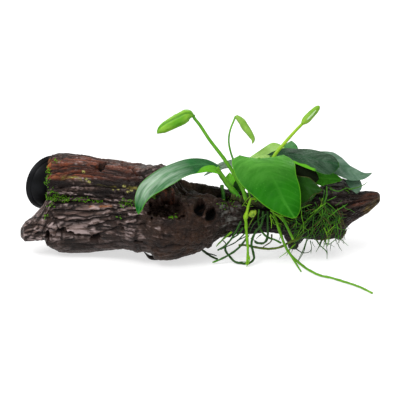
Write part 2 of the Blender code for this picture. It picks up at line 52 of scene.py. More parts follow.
# Driving dimensions, as in the part's source
LOG_LEFT = -144.5
LOG_RIGHT = 145.0
FORK_LEFT = -48.0
FORK_RIGHT = 34.0
TIP_FORK = 112.0
SLAB_END = -122.0
CUP_RADIUS = 22.4
CUP_DEPTH = 14.0
CUP_CENTRE = (-123.2, 29.0, 52.0)
CUP_MOUTH = (-0.643, 0.766, 0.0)
LEAF_THICKNESS = 0.8
SQUARENESS = 0.4
STEM_RADIUS = 1.4

# How finely the wood is drawn: between rings, points on a ring, and rings of each part
RING_STEP = 0.56
COLUMNS = 400
WALL_RINGS = 14
SLAB_RINGS = 133
BURL_RINGS = 147
THIN_END_RINGS = 196
# The surface is searched for in this many steps up to this far from the heart line
SEARCH_REACH = 66
SEARCH_STEPS = 133

# The camera, as in the photograph
LENS = 168.75
VIEW_DISTANCE = 1.5
VIEW_TILT = 22.0
AIM_HEIGHT = 48.0
# How much a millimetre to the back and a millimetre up add to the height that is seen
BACK_SEEN = 0.375
UP_SEEN = 0.927
# The strength of the surround's light and of the floor's own, and where the soft lights are turned to
SURROUND = 0.62
LIGHT_AIM = (0, 0, 0.04)

# Wood sections: x, middle y, middle z, half depth, half height. BRIDGE is the wood between the two arms.
BRIDGE = ((-122.0, 6, 46, 9, 7.5), (-110.0, 10, 46, 13, 8), (FORK_LEFT, 6, 45, 17, 9))
UPPER_ARM = (
    (-122.0, 15, 63.0, 19, 15.0),
    (-114.0, 16, 63.5, 20, 16.0),
    (-106.0, 17, 62.5, 21, 15.5),
    (-94.0, 17, 61.5, 22, 15.0),
    (-82.0, 16, 59.8, 23, 14.8),
    (-70.0, 14, 58.8, 24, 14.5),
    (-60.0, 12, 57.8, 25, 14.0),
    (FORK_LEFT, 8, 56.8, 27, 13.8),
)
LOWER_ARM = (
    (LOG_LEFT, 2, 19.0, 4, 3.5),
    (-141.0, 2, 20.0, 9, 7.5),
    (-134.0, 3, 22.5, 12, 9.5),
    (-127.0, 5, 26.2, 16.5, 12.9),
    (-124.8, 6, 28.2, 18.5, 14.8),
    (-123.6, 7, 26.8, 19, 18.6),
    (-120.5, 8, 26.0, 19.5, 20.3),
    (-114.0, 12, 24.5, 24, 23.8),
    (-104.0, 14, 24.3, 27, 24.6),
    (-90.0, 14, 24.6, 27, 24.6),
    (-76.0, 10, 26.2, 27, 22.5),
    (-62.0, 6, 28.0, 28, 20.5),
    (FORK_LEFT, 2, 28.5, 30, 20.0),
)
TRUNK = (
    (FORK_LEFT, 4, 39.1, 33, 32.1),
    (-44.0, 2, 39.3, 33.5, 32.8),
    (-39.5, -1, 39.7, 34, 33.9),
    (-36.5, -2, 37.4, 34.5, 36.7),
    (-32.0, -3, 37.7, 35, 37.5),
    (-24.0, -3, 36.9, 34, 36.3),
    (-16.0, -2, 33.5, 32, 31.0),
    (-8.0, -1, 31.9, 30, 27.2),
    (0.0, 1, 32.1, 28, 25.2),
    (8.0, 4, 33.2, 25, 21.6),
    (16.0, 8, 34.0, 23, 18.9),
    (24.0, 11, 32.4, 21, 17.7),
)
RIGHT_BRANCH = (
    (FORK_RIGHT, 13, 31.2, 20, 16.8),
    (42.0, 14, 30.5, 19, 16.4),
    (52.0, 15, 30.7, 18, 15.8),
    (64.0, 16, 29.9, 18, 17.0),
    (78.0, 16, 29.0, 18, 18.6),
    (92.0, 16, 28.8, 18, 20.4),
    (102.0, 16, 29.0, 18, 21.8),
)
BRANCH_TIP = (
    (TIP_FORK, 15, 30.2, 17, 20.6),
    (117.0, 14, 33.6, 15, 17.0),
    (123.0, 14, 36.4, 13, 12.8),
    (129.0, 13, 38.8, 12, 10.4),
    (136.0, 12, 41.6, 10, 8.6),
    (141.0, 12, 44.0, 7.5, 6.0),
    (143.6, 12, 44.9, 6.2, 4.6),
    (LOG_RIGHT, 12, 45.2, 4, 2.6),
)
STEM = TRUNK + RIGHT_BRANCH + BRANCH_TIP
# An outside distance that keeps a form away from where it doesn't reach
FAR_OFF = 99
# Knobs on the log, the hump behind the tip and a wart under the trunk: middle, half sizes, blend
KNOBS = (((111, 22, 47.2), (13, 10, 11), 1.5), ((6.5, -8, 13.5), (3, 4, 3), 0.8))
# Room kept free for the cup: distance from its axis, and how far behind its mouth the wood ends
CUP_ROOM = ((0, 6, 9.5, 13, 16.4, 18.9, 20.5, 23), (14.7, 14.4, 12.2, 10.5, 8.2, 5.8, 4.2, 1.2))
# Snags that stand out of the wood, the thorn, the peg and the knob below the tip: the piece that they
# belong to, places, radii, rings, sides, roughness and seed
SNAGS = (
    ("driftwood_burl", ((-34, -11, 2.9), (-38, -11, 2.4), (-41, -11, 3.4), (-44.8, -11, 7.4)),
     (2.6, 2.0, 1.3, 0.3), 16, 14, 0.2, 5),
    ("driftwood_thin_end", ((77, 15, 17), (76.5, 14.5, 8), (76, 14, 0.1)), (9.5, 6.5, 4.0), 18, 24, 0.25, 6),
    ("driftwood_thin_end", ((111, 9, 20), (112, 6, 15.5), (112.8, 5, 11.5)), (6.5, 5.6, 1.5), 16, 20, 0.3, 7),
)
SNAG_DARKNESS = 0.7

# The rhizome creeps along the top of the right branch. Its shoot shows as a stem in front of the wood,
# down to the node that carries a root. The cut stub and the curled young leaf follow: places, radii
RHIZOME = ((25, 3, 49.9), (34, 1, 48.3), (46, -1, 46.2), (60, -2, 45.2), (74, -1, 45.2), (88, 1, 46))
RHIZOME_RADII = 3.0 + 0.4 * np.sin(np.arange(60) * 1.9)
SHOOT = (((44, -3, 50), (40.5, -8, 52), (38.8, -10, 48), (37.4, -11, 42), (36.3, -11, 37.5),
          (36.4, -11, 34.5)),
         (0.9, 0.9, 1.0, 1.9, 1.1))
CUT_STUB = (((19, 2, 48.5), (18.5, 1.5, 54), (17.3, 1, 60)), (1.7, 1.3, 1.4, 1.7))
YOUNG_LEAF = (((44.5, -11, 43.6), (43, -12.4, 42.4), (41, -12.6, 40.6), (38.6, -11.6, 39.4)),
              (0.6, 2.1, 2.7, 2.2, 0.5))

# Leaves: places along the midrib from base to tip, half width, direction of the side at
# base and tip, cup (edges up when positive), lobe length and how much of the width the base has.
# SQUARENESS is how far the side is turned square to the midrib.
LEAVES = {
    "left": (((13, 6, 73), (3, 4, 77), (-12, -7, 79.5), (-27, -20, 77.5), (-39, -31, 71.5), (-45.5, -38, 63),
              (-48, -42, 53)), 13.0, (-0.25, -1, 0.05), (0.75, -0.7, -0.35), -0.05, 5, 0.6),
    "front": (((46.7, 2.8, 83), (50, -3, 79.5), (54.5, -10, 74.5), (60.5, -19, 67), (66, -29, 58),
               (74, -37, 47.5)),
              24.0, (1, 0.14, -0.17), (1, 0.1, 0.1), -0.06, 4.5, 0.85),
    "right": (((57, 22.5, 77.5), (70, 18.5, 80), (84, 14, 79.5), (98, 10, 77.5), (111, 5, 75.5)),
              15.5, (0.1, -0.95, -0.22), (0.25, -0.85, -0.35), -0.08, 4, 0.5),
    "far_right": (((94, 26, 76), (108, 22, 71.5), (121, 17, 66), (130, 14, 64), (138, 14, 66)),
                  9.5, (0.1, -0.8, -0.5), (0.2, -0.8, -0.4), 0.12, 3, 0.7),
    "drooping": (((122, 15, 60), (124, 13, 57.5), (125.5, 11, 54), (126, 9.5, 49.5)),
                 5.5, (-1, 0.1, 0), (-1, 0.2, 0), 0.10, 1, 0.8),
    "back_light": (((73, 34, 73), (61, 35, 75.5), (50, 33, 73.5), (39, 31, 71)),
                   8.0, (-0.1, 0.45, 0.85), (-0.2, 0.5, 0.8), 0.08, 2, 0.6),
    "back_grey": (((72, 46, 66), (73, 48, 71), (74, 50, 75), (75, 52, 79.5)),
                  7.0, (1, 0.1, 0), (1, 0, 0.1), 0.10, 2, 0.7),
    "inner": (((76, 2, 64), (83, -2, 62), (90, -6, 60.5), (98, -10, 60.5)),
              10.0, (0.3, -0.5, -0.8), (0.3, -0.5, -0.8), 0.06, 2, 0.8),
    "inner_dark": (((72, 9, 72), (81, 7, 69.5), (89, 5.5, 66.5), (95, 5, 64.5)),
                   4.5, (0, -0.35, -0.93), (0, -0.35, -0.93), 0.0, 1, 0.9),
    "inner_bright": (((94, 16, 61), (101, 15, 60.5), (107, 15, 60), (115, 15, 59.5)),
                     5.6, (0, -0.35, -0.93), (0, -0.35, -0.93), 0.05, 2, 0.8),
    "small_round": (((26, 14, 54), (25, 16, 57), (24, 18, 60), (24, 20, 64)),
                    4.5, (1, 0.2, 0.1), (1, 0.2, 0), 0.15, 1, 0.6),
    "small_dark": (((34, 9, 53), (32, 10, 55), (30, 11, 57.5), (29, 12.5, 60.5)),
                   4.5, (0.8, 0, 0.6), (0.8, 0, 0.5), 0.15, 1, 0.5),
    "back_left": (((31, 36, 66), (23, 35, 65.5), (14, 33, 63), (3, 30, 57)),
                  4.0, (0.1, -0.2, 0.9), (0.2, -0.2, 0.9), 0.06, 2, 0.6),
}
# The larger blades, drawn more finely: rows and columns of both kinds, and how high the margin waves
LARGE_LEAVES = ("left", "front", "right", "far_right", "back_light", "inner", "inner_bright")
LARGE_BLADE = (96, 40)
SMALL_BLADE = (48, 22)
MARGIN_WAVE = 0.4
# Where a blade without widths of its own is widest, as a share of its length
BLADE_PEAK = 0.36
# Half widths of the larger blades at WIDTH_STATIONS along the midrib, on the two sides of it
WIDTH_STATIONS = (0, 0.06, 0.14, 0.25, 0.38, 0.5, 0.62, 0.74, 0.84, 0.92, 0.97, 1)
BLADE_SIDES = {
    "left": ((8.1, 10.2, 11.6, 13.5, 14.6, 14.5, 11.5, 7.4, 4.6, 3.1, 1.2, 0),
             (5, 10.9, 12.1, 11.7, 10.9, 11.8, 10.6, 9.7, 8.4, 5.9, 3.0, 0)),
    "front": ((22.8, 27.0, 27.8, 26.8, 23.2, 20.0, 17.9, 15.6, 12.4, 8.6, 5, 1),
              (13.0, 20.0, 23.3, 25, 26, 25.4, 22.8, 17.8, 12.8, 8, 4.4, 1)),
    "right": ((3, 6.2, 8, 9.4, 10.4, 12, 14.2, 15.4, 13.2, 8.4, 4, 1),
              (2, 5.6, 6.9, 8.8, 10.8, 11.8, 12.9, 13.7, 13, 11.2, 8, 2)),
    "far_right": ((7, 8.5, 10, 12.4, 13.2, 11, 7.4, 5.8, 4.0, 2.2, 0.7, 0),
                  (3, 5, 7.5, 9.4, 8.6, 5.6, 4.6, 3.4, 2.2, 1, 0.4, 0)),
    "back_light": ((3, 4, 5, 7.2, 8.1, 6.7, 5.3, 3.8, 2.7, 1.9, 0.8, 0),
                   (2, 3, 4, 4.6, 5.5, 5.6, 5, 4.2, 3, 1.4, 0.5, 0)),
    "inner": ((16.7, 18.7, 17.9, 16.5, 14.7, 9.9, 6.1, 4.2, 3.4, 1.6, 0.2, 0),
              (4.6, 5.3, 5, 5.9, 6.9, 7.8, 8, 5.9, 3.5, 1.3, 0.3, 0)),
    "inner_dark": ((4, 6, 6.5, 7, 7, 7, 6.5, 6, 5, 3.5, 2, 0),
                   (6, 7.5, 8, 8.5, 8.5, 8, 7, 6, 4.5, 3, 1, 0)),
    "inner_bright": ((3, 5, 5.7, 6.3, 5, 4.2, 3.6, 3, 2.1, 1.3, 0.5, 0),
                     (5, 7.5, 8.2, 8, 7.6, 7, 6.2, 5, 3.2, 1.8, 0.8, 0)),
}
# Where a margin turns over and shows its bright underside: from and to along the midrib, and from what
# share of the width it does so at those two places
TURNED_MARGINS = {"left": (-0.1, 0.30, -0.5, 1.0), "right": (0.24, 0.60, 0.76, 0.76)}
# Between side veins, the width of the midrib's furrow, and how far from the margin its paler line goes
VEIN_SPACING = 6.2
RIB_WIDTH = 0.75
MARGIN_LINE = (0.3, 0.9)
# How deep the furrow is above and below, how far the blade swells between its veins, and how uneven it is
RIB_ABOVE = 0.2
RIB_BELOW = 0.5
VEIN_SWELL = 0.05
UNEVENNESS = 0.5
# Leaves whose margin is hardly paler than the blade
DARK_MARGINS = ("right", "far_right", "drooping", "inner_dark")
# How far the side veins lean to the tip, in some leaves and in the others
VEIN_LEANS = {"left": 1.5, "right": 1.3, "far_right": 1.3}
PLAIN_LEAN = 0.75

# Petioles: from the rhizome to the blade's base
PETIOLES = {
    "left": ((31, 1, 49), (28, 3, 53), (22, 4, 60), (16.5, 5.5, 68)),
    "front": ((44.5, -2, 47.5), (44.5, 1, 58), (46, 4, 70), (48.5, 3, 76.5)),
    "right": ((54, -1, 47), (57, 7, 58), (58, 17, 70)),
    "far_right": ((70, 1, 47), (75, 18, 58), (87, 26, 70)),
    "drooping": ((87.5, 1, 47), (96, 18, 49), (107, 36, 47), (119, 31, 51), (123.5, 19, 57.5)),
    "back_light": ((64, 1, 47), (70, 20, 57), (75, 31, 66)),
    "back_grey": ((60, 1, 47), (65, 22, 52), (70, 38, 58)),
    "inner": ((76, -1, 46.5), (76.5, 4, 53), (75, 5.5, 60)),
    "inner_dark": ((81, 2, 47), (80, 7, 56), (77, 9.5, 64)),
    "inner_bright": ((86, 3, 47.5), (89, 12, 53), (91, 16, 57)),
    "small_round": ((27.5, 5, 50.5), (25, 8, 53), (25, 12, 53.5)),
    "small_dark": ((36, 3, 49), (36.5, 6, 51), (36, 8, 52)),
    "back_left": ((43.5, 3, 47.5), (42, 16, 54), (37, 30, 62)),
}

# Petioles in front keep the bright stalk; those behind and inside the clump get the dark stalk, its darker
# green painted shade
BRIGHT_PETIOLES = ("left", "front", "small_round", "back_light", "inner_bright")
# Radii of a petiole from its foot to the blade, as shares of the stem's, and of a smaller leaf's petiole
PETIOLE_TAPER = (1.4, 1.2, 1.0, 0.9, 0.85, 0.8, 0.75)
LEFT_PETIOLE_TAPER = (1.8, 1.75, 1.65, 1.55, 1.5, 1.5, 1.6)
SMALL_PETIOLE = 0.7

# Flower stalks and the spathes they carry: axis points from base to tip, and the spathes' radii
PEDUNCLES = {
    "left": ((36.5, -1, 49), (34, 0.5, 57), (27, 1.5, 70), (18, 5, 83), (8, 10, 95), (0, 15, 106),
             (-4.5, 18, 111)),
    "middle": ((40.5, 1, 48.5), (36.5, 4, 62), (29, 8, 74), (25, 11, 83), (23, 15, 92), (24, 19, 100),
               (27, 23, 107)),
    "right": ((50, 0, 48), (54, 5, 66), (58.5, 9, 81), (69, 14.5, 93), (77, 18.5, 101), (81, 20.5, 104.5)),
}
SPATHES = {
    "left": (((-5.2, 18, 113.6), (-9.6, 18.5, 113.6), (-15.4, 17.5, 110.6), (-21, 16.8, 107.8),
              (-26.5, 16, 104.8), (-31, 15, 102.2), (-34.2, 14.5, 99.4)),
             (1.2, 3.6, 4.9, 5.3, 5.3, 5.1, 4.8, 4.4, 3.7, 2.4, 0.5)),
    "middle": (((28.6, 24, 110.8), (33.2, 23, 106.6), (36, 21, 102.6), (38.8, 18.5, 99.3), (41.2, 16, 96.3),
                (42.4, 14.5, 93.9), (41.8, 13.5, 91.0)),
               (1.3, 2.4, 2.9, 3.0, 2.9, 2.6, 2.3, 2.0, 1.6, 1.1, 0.4)),
    "right": (((81.8, 20.6, 105.4), (85.5, 22.3, 109.0), (89.5, 24.3, 112.6), (93.2, 26, 116.0),
               (95.4, 27, 118.2)),
              (1.4, 2.7, 3.2, 3.3, 3.2, 3.0, 2.8, 2.6, 2.3, 1.8, 0.6)),
}
# Where round the spathe the furrow of its overlap starts, in radians
SEAM_ANGLE = {"left": 2.2, "middle": 5.4, "right": 4.4}
STALK_RADII = {"left": (1.7, 1.6, 1.45, 1.3, 1.2), "middle": (1.0, 0.85, 0.8, 0.75, 0.8),
               "right": (1.6, 1.5, 1.35, 1.25, 1.2)}
SPADIX = (((83.5, 19.2, 107.3), (88.5, 19.6, 112.5), (92.5, 22, 116.4)), (0.3, 0.62, 0.7, 0.62, 0.25))

# Roots: places from the rhizome outwards, start radius, end radius
ROOTS = {
    "root_long_floor": (((58, -6.5, 42), (61, -11, 33.5), (64.5, -14, 24), (68, -15.5, 15), (72, -16.5, 8),
                         (79, -19, 1.7), (86, -33, 1.7), (94, -43, 1.6), (103, -48, 1.5), (111, -54, 1.5),
                         (123, -64, 1.4), (133, -76, 1.3)), 1.5, 1.0),
    "root_vertical": (((36.5, -11, 36), (37, -14.5, 26), (38, -18, 16), (38, -22, 7), (37, -24, 2.0)),
                      1.3, 1.0),
    "root_loop": (((50.5, -7.5, 41.5), (49, -12, 32), (44, -14.5, 26), (41, -17, 18), (42.5, -18, 10),
                   (43, -19, 5), (39, -20, 1.6), (33, -20, 1.5), (28, -18, 2), (24, -15, 5),
                   (20.5, -14.5, 10), (20.5, -14.5, 15)),
                  1.1, 0.9),
    "root_lower_left": (((37, -13, 20), (32, -15, 14), (26, -17, 9.5), (18, -18, 5), (10, -18.5, 1.6)),
                        1.0, 0.8),
    "root_under_trunk": (((2, 7, 1.2), (6, -1, 1.2), (11, -8, 1.2), (14, -11, 1.2)), 0.9, 0.8),
    "root_long_brown": (((31, -11.5, 13.5), (37, -12.5, 14), (42, -13, 13), (48, -13.5, 12),
                         (55, -13.5, 11.3), (64, -12.5, 12.3), (72, -11, 16), (79, -9.5, 19), (84, -4, 23)),
                        1.0, 1.0),
    "root_hook": (((54, -8, 41.5), (54, -12, 32), (54, -14.5, 23), (51, -16, 17.5), (46, -16.5, 17.5),
                   (43.5, -15.5, 18.8)), 1.0, 0.8),
    "root_green": (((47.2, -6.5, 42.5), (46.5, -8.5, 34), (48.5, -10, 27), (53, -11, 21), (60, -12, 18.5),
                    (65, -13, 16)), 0.9, 0.8),
    "root_fork": (((61, -7, 44), (65, -11.5, 39), (68, -15, 34), (70.5, -17, 29), (74, -18, 21.5)), 1.2, 0.9),
    "root_short_left": (((33, -8, 33), (27, -13, 23), (21, -16, 16), (14, -17, 11.5)), 0.9, 0.7),
}

# The side root that leaves the long one above the surface
SIDE_ROOT = ((70.5, -16.2, 11), (73, -18.5, 7), (76, -22.5, 3.4), (78, -27, 1.5), (80, -35, 1.2))

# How thin the skins of the long root and of the others are drawn, as a share of the solids' radii
LONG_ROOT_SHARE = 0.82
ROOT_SHARE = 0.95
# Each root's place on the strands' scale of colours, and that of the free tips
ROOT_SHADES = {
    "root_long_floor": 0.6, "root_vertical": 0.68, "root_loop": 0.22, "root_lower_left": 0.2,
    "root_under_trunk": 0.15, "root_long_brown": 0.83, "root_hook": 0.15, "root_green": 0.35,
    "root_fork": 0.5, "root_short_left": 0.25,
}
TIP_SHADE = 0.72
FREE_TIPS = ("root_long_floor", "root_vertical", "root_lower_left", "root_fork")
# Fine roots of the tangle, and their side strands: how many, how long and how thick. The strands start
# within a span of x and of seen height and end within another span of x. They go one of four ways, in
# radians in the seen plane, some more often than others, and have one of six shades.
TANGLE_STRANDS = 62
TANGLE_BRANCHES = 80
STRAND_LENGTHS = (10, 30)
BRANCH_LENGTHS = (4, 12)
STRAND_RADII = (0.3, 0.52)
BRANCH_RADII = (0.24, 0.4)
STRAND_STARTS = (72, 118)
STRAND_HEIGHTS = (-22, 6)
STRAND_ENDS = (63, 116)
STRAND_WAYS = (-2.45, -2.0, -1.5, -0.95)
WAY_SHARES = (0.4, 0.22, 0.2, 0.18)
STRAND_SHADES = (0.1, 0.22, 0.34, 0.46, 0.58, 0.86)
SHADE_SHARES = (0.16, 0.22, 0.2, 0.14, 0.12, 0.16)
# How far the moss stands out, its radii, and how deep it is set in the wood
MOSS_HEIGHTS = (0.5, 2.0)
MOSS_RADII = (0.20, 0.38)
MOSS_SEAT = 0.2
# Moss: patches of each piece as x, seen height, half sizes and how many filaments
MOSS_PATCHES = {
    "moss_left_edge": ((-121, 18, 2.2, 7, 70), (-114, 30, 5, 1.6, 14)),
    "moss_crack": ((-113, 1.8, 11, 3.0, 120), (-94, 0.2, 9, 1.4, 36), (-118, -4.5, 2.5, 2.5, 22),
                   (-82, -1.5, 4, 1.2, 20), (-118, 5, 4, 5, 44), (-124, -12.5, 2, 1.5, 10)),
    "moss_fork": ((-58, -2.4, 6, 3.2, 60), (-38, 2, 3, 1.5, 14), (-64, -13, 3, 1, 10)),
    "moss_burl": ((-22.5, -13.8, 2.2, 0.9, 18), (-18.6, -12.4, 0.8, 1.6, 10)),
    "moss_rhizome": ((21, -2, 8, 5, 50), (37, -1, 3, 4.5, 40), (112, 8, 9, 3.5, 26)),
}
# Thin roots: (x, seen height) places, y at the start and the end, radius and shade
SMALL_ROOTS = (
    (((1.5, -40), (6, -43), (11, -47), (13.5, -47)), 3, -4, 0.7, 0.15),
    (((34.5, -22), (30.5, -27.5), (26, -30.5), (22, -34)), -8, -14, 0.9, 0.3),
    (((37, -29), (32, -31.5), (29, -33)), -10, -13, 0.5, 0.15),
    (((25.5, -25.5), (20, -30), (14.5, -35.5), (13, -37.5)), -9, -12, 0.9, 0.7),
    (((37, -25.5), (29, -33.5), (21, -37.5), (16.5, -40)), -9, -13, 0.6, 0.2),
    (((54, -16), (54.5, -28), (54, -32), (52, -34), (47, -34), (44, -32.5), (40.5, -30.5)),
     -8, -13, 0.65, 0.08),
    (((57.5, -27.5), (57, -33), (54, -35.5), (51, -37.5), (50, -39)), -9, -12, 0.7, 0.86),
    (((49, -27.5), (46.5, -29.5), (45, -31)), -10, -12, 0.45, 0.2),
    (((56, -12), (57, -17.5), (57, -22.5)), -10, -12, 0.6, 0.7),
    (((56, -8), (63, -13.5), (66.5, -17), (70, -21.5), (74, -29.5)), -10, -16, 0.8, 0.62),
    (((66.5, -16), (69, -17), (71, -18.5)), -13, -14, 0.45, 0.7),
    (((56, -11), (62, -18), (65, -19)), -11, -13, 0.45, 0.6),
    (((61, -11), (63, -13), (66.5, -13)), -12, -13, 0.35, 0.72),
    (((61.5, -11.5), (65, -14.5), (68, -15)), -12, -13, 0.35, 0.72),
    (((58.5, -13.5), (60, -17), (63, -19)), -12, -13, 0.35, 0.6),
    (((57.5, -15), (59, -19), (62.5, -20)), -12, -13, 0.35, 0.6),
    (((60, -11), (64, -12.5), (68.5, -13.5)), -12, -13, 0.35, 0.72),
    (((86, -31), (84.5, -37), (83, -42), (79, -49)), -7, -14, 0.6, 0.2),
    (((88.5, -32.5), (89.5, -37.5), (89, -43)), -7, -11, 0.5, 0.3),
    (((75, -37), (77, -39), (81.5, -42), (84.5, -42.5), (88, -41.5), (89.5, -39)), -7, -11, 0.55, 0.1),
    (((93, -31), (96, -36), (101, -40.5), (102, -43.5), (102, -47.5)), -7, -12, 0.55, 0.35),
    (((97, -34), (95, -38.5), (93, -42)), -7, -10, 0.45, 0.4),
    (((103, -31), (103, -34.5), (102.5, -37.5)), -7, -9, 0.4, 0.45),
    (((100.5, -30.5), (100, -37.5)), -7, -9, 0.35, 0.5),
    (((90, -33.5), (91, -36), (92.5, -38)), -7, -9, 0.35, 0.3),
    (((110.5, -27), (113, -31), (116, -34), (119, -37)), -6, -10, 0.4, 0.45),
    (((77, -34.5), (72, -39.5), (68, -43), (63.5, -46)), -9, -15, 0.5, 0.7),
    (((74.5, -37), (71, -41.5), (69.5, -45)), -9, -14, 0.35, 0.8),
    (((119, 8.5), (126, 10), (130.5, 12), (134.5, 15)), 4, 2, 0.5, 0.35),
    (((101.5, -0.5), (105, 1), (108.5, 3)), -4, -5, 0.4, 0.5),
    (((108, -4.5), (110.5, -3), (113.5, 0)), -3.5, -4, 0.35, 0.35),
    (((114, -4), (117, -7), (120.5, -8), (124, -10)), -3, -3, 0.35, 0.35),
    (((101.5, -2.5), (106.5, -6.5), (111, -12), (114.5, -17.5)), -5, -4, 0.45, 0.5),
    (((112.5, -14.5), (113.5, -16), (115, -18)), -3, -4, 0.4, 0.5),
    (((101, 11), (101, 3), (100, -5), (104, -11), (109, -17.5)), -2, -7, 0.55, 0.45),
    (((100, -4), (93.5, -9.5), (87, -15), (81, -22.5), (73.5, -32)), -7, -12, 0.6, 0.4),
    (((97.5, 1.5), (96, -5), (90.5, -11), (82.5, -19), (77, -30.5)), -6, -12, 0.5, 0.6),
    (((99, 8), (98.5, 0), (101.5, -8), (99, -17.5), (101.5, -29)), -5, -9, 0.5, 0.3),
    (((105, -8), (109.5, -15), (113, -22.5), (112, -30.5)), -6, -9, 0.45, 0.5),
    (((104, 9), (110.5, 7), (117, 9.5), (121.5, 8)), 2, 0, 0.5, 0.4),
    (((34.5, 2.5), (37, -2.5), (41, -4)), -8, -9, 0.35, 0.72),
    (((40, 3), (37, 0), (33.5, -5)), -8, -9, 0.35, 0.72),
    (((35, -4), (38.5, -5.5), (42.5, -5)), -8, -9, 0.3, 0.72),
    (((22.5, -26.5), (19, -30.5), (17, -33), (15, -34.5)), -13, -14, 0.35, 0.3),
    (((38.5, -44), (39.5, -47), (38.5, -50.5), (37, -53)), -23, -25, 0.7, 0.72),
    (((30, -50), (33.5, -49.5), (38, -49.5)), -19, -20, 0.6, 0.3),
    (((18, -32), (20.5, -35), (19, -39)), -14, -15, 0.5, 0.15),
    (((101, 4.5), (100, 0.5), (99, -3), (100, -7), (99.5, -10.5), (97, -14), (92.5, -18.5), (88.5, -22.5),
      (83, -26.5), (76, -31), (70.5, -35)), -6, -11, 0.8, 0.36),
    (((98, -7.5), (97, -13.5), (95, -18.5), (90.5, -23.5), (86.5, -29), (81, -30.5), (75, -34.5)),
     -8, -11, 0.5, 0.5),
    (((101.5, -6.5), (105, -10.5), (108, -13.5), (109, -18.5), (107.5, -23.5), (108.5, -27.5),
      (108, -31)), -7, -10, 0.6, 0.3),
    (((109, -18.5), (110, -23), (110.5, -28), (111.5, -34.5)), -9, -10.5, 0.5, 0.5),
    (((100, -11.5), (102, -16), (105, -18), (109, -20), (112.5, -23.5), (117, -23.5)), -8, -9.5, 0.5, 0.34),
    (((111.5, -13.5), (110, -19), (105, -25.5), (103.5, -34)), -7, -10.5, 0.5, 0.55),
    (((99, -13.5), (101, -16), (100, -20), (98, -24), (99, -29.5)), -8.5, -11, 0.5, 0.22),
    (((99, -22), (101.5, -27.5), (102.5, -32.5), (102, -37)), -10, -11.5, 0.5, 0.72),
    (((85, -5.5), (88, -9), (91, -13.5), (92, -16)), -6, -8.5, 0.5, 0.3),
    (((79.5, -13), (84.5, -14.5), (90, -16), (95, -17)), -7, -9, 0.5, 0.34),
    (((75, -16), (78, -19), (81, -22)), -7, -8.5, 0.45, 0.34),
    (((91.5, -1.5), (94, -6), (96.5, -10)), -6, -7, 0.5, 0.3),
    (((95, 2), (97, -2), (97.5, -7), (95, -11.5)), -5, -8.5, 0.5, 0.36),
    (((97, -25.5), (91.5, -29.5), (86.5, -29.5)), -10, -10.5, 0.45, 0.3),
    (((111.5, -19), (113.5, -25)), -8, -9.5, 0.4, 0.86),
    (((99.5, -24), (98, -29.5), (97, -34.5), (94, -40)), -10, -11.5, 0.5, 0.3),
    (((75.5, -21), (76, -25), (75, -29.5), (76, -33.5)), -7, -9.5, 0.45, 0.3),
    (((83, -5), (83.5, -9.5), (85.5, -14.5), (85, -19)), -6, -8.5, 0.4, 0.22),
    (((91, -5), (92, -9.5), (91.5, -14.5)), -6, -8, 0.4, 0.3),
    (((85.5, -32), (83, -39.5), (79, -48.5)), -10, -12, 0.6, 0.3),
    (((109, -19), (105, -23), (101.5, -26.5)), -9, -10.5, 0.4, 0.72),
    (((53.4, -10.9), (44.4, -17.5), (40.3, -24), (38.7, -29.7)), -10, -13, 0.55, 0.2),
    (((44.4, -10.9), (41.1, -16.6), (38.3, -22.4)), -10, -12.5, 0.5, 0.8),
    (((52, -12), (49, -19), (47.5, -26.5)), -10, -12.5, 0.4, 0.2),
)
# How low the wood, the seen roots, the tangle and the moss may come
LOWEST = 0.05
LOWEST_ROOT = 0.9
LOWEST_STRAND = 0.8
LOWEST_MOSS = 0.4
# Deep seams of the front: (x, seen height) places, half width and depth. SEAM_END is how far they run out.
SEAM_END = 3
SEAMS = (
    (((-113, 28), (-84, 27.2)), 0.7, 1.0),
    (((-114, 23.6), (-80, 22.4), (-58, 19.5)), 0.7, 1.2),
    (((-114, 20.9), (-85, 18.9), (-60, 14.8)), 0.6, 1.0),
    (((-111, 12), (-85, 11.7), (-54, 10.2)), 1.2, 2.2),
    (((-109, 7.6), (-80, 6.6), (-54, 5.6)), 0.7, 1.2),
    (((-109, 3.8), (-80, 2.5), (-54, 1.3)), 1.0, 2.0),
    (((-115, -1.8), (-85, -1.4), (-54, -2.8)), 1.3, 3.2),
    (((-116, -8.4), (-88.6, -10.4), (-70, -7.5), (-50, -4.3)), 1.1, 2.4),
    (((-112, -12.5), (-90, -14), (-70, -11), (-50, -8)), 0.7, 1.2),
    (((-117, -16), (-99, -19.2), (-82.4, -15), (-58, -11.5)), 1.2, 2.6),
    (((-88.6, -22.7), (-68, -17), (-50, -14)), 1.1, 2.0),
    (((-80, -28), (-62, -21), (-44, -19)), 1.0, 1.6),
    (((-62, 29.5), (-54, 25.6), (-47, 21), (-40, 16.4)), 0.9, 2.6),
    (((-137, -13.5), (-128, -13.5), (-120, -15)), 0.9, 1.2),
    (((-138, -19), (-126, -21), (-117, -25)), 0.9, 1.4),
    (((-137, -26), (-124, -27)), 0.7, 1.0),
    (((-119.5, -10), (-115, -18), (-111, -30)), 1.4, 1.6),
    (((-110, -26), (-103, -28.5), (-96, -28), (-91, -30), (-84, -31)), 1.0, 2.6),
    (((-110, -35), (-90, -37.5), (-70, -35)), 0.8, 1.2),
    (((-37, -39.5), (-22, -38), (-9, -35.5), (5, -35)), 0.8, 1.4),
)
# Ragged pits of the front: x, seen height, half sizes and depth
PITS = ((-110.8, -26.4, 5.4, 4.6, 6), (-103.5, -27.0, 4.4, 2.0, 4), (-97.5, -29.6, 4.6, 1.8, 4),
        (-91, -29.4, 4, 1.8, 4), (-83.6, -31.4, 5, 3.8, 6), (-79.6, 28.0, 3.8, 3.2, 6),
        (-75.0, 30.4, 2.6, 1.5, 4), (-122, -27, 1.6, 2.4, 1.2), (-63, -20, 2.4, 1.0, 2),
        (-49, -34, 5, 1.2, 2))
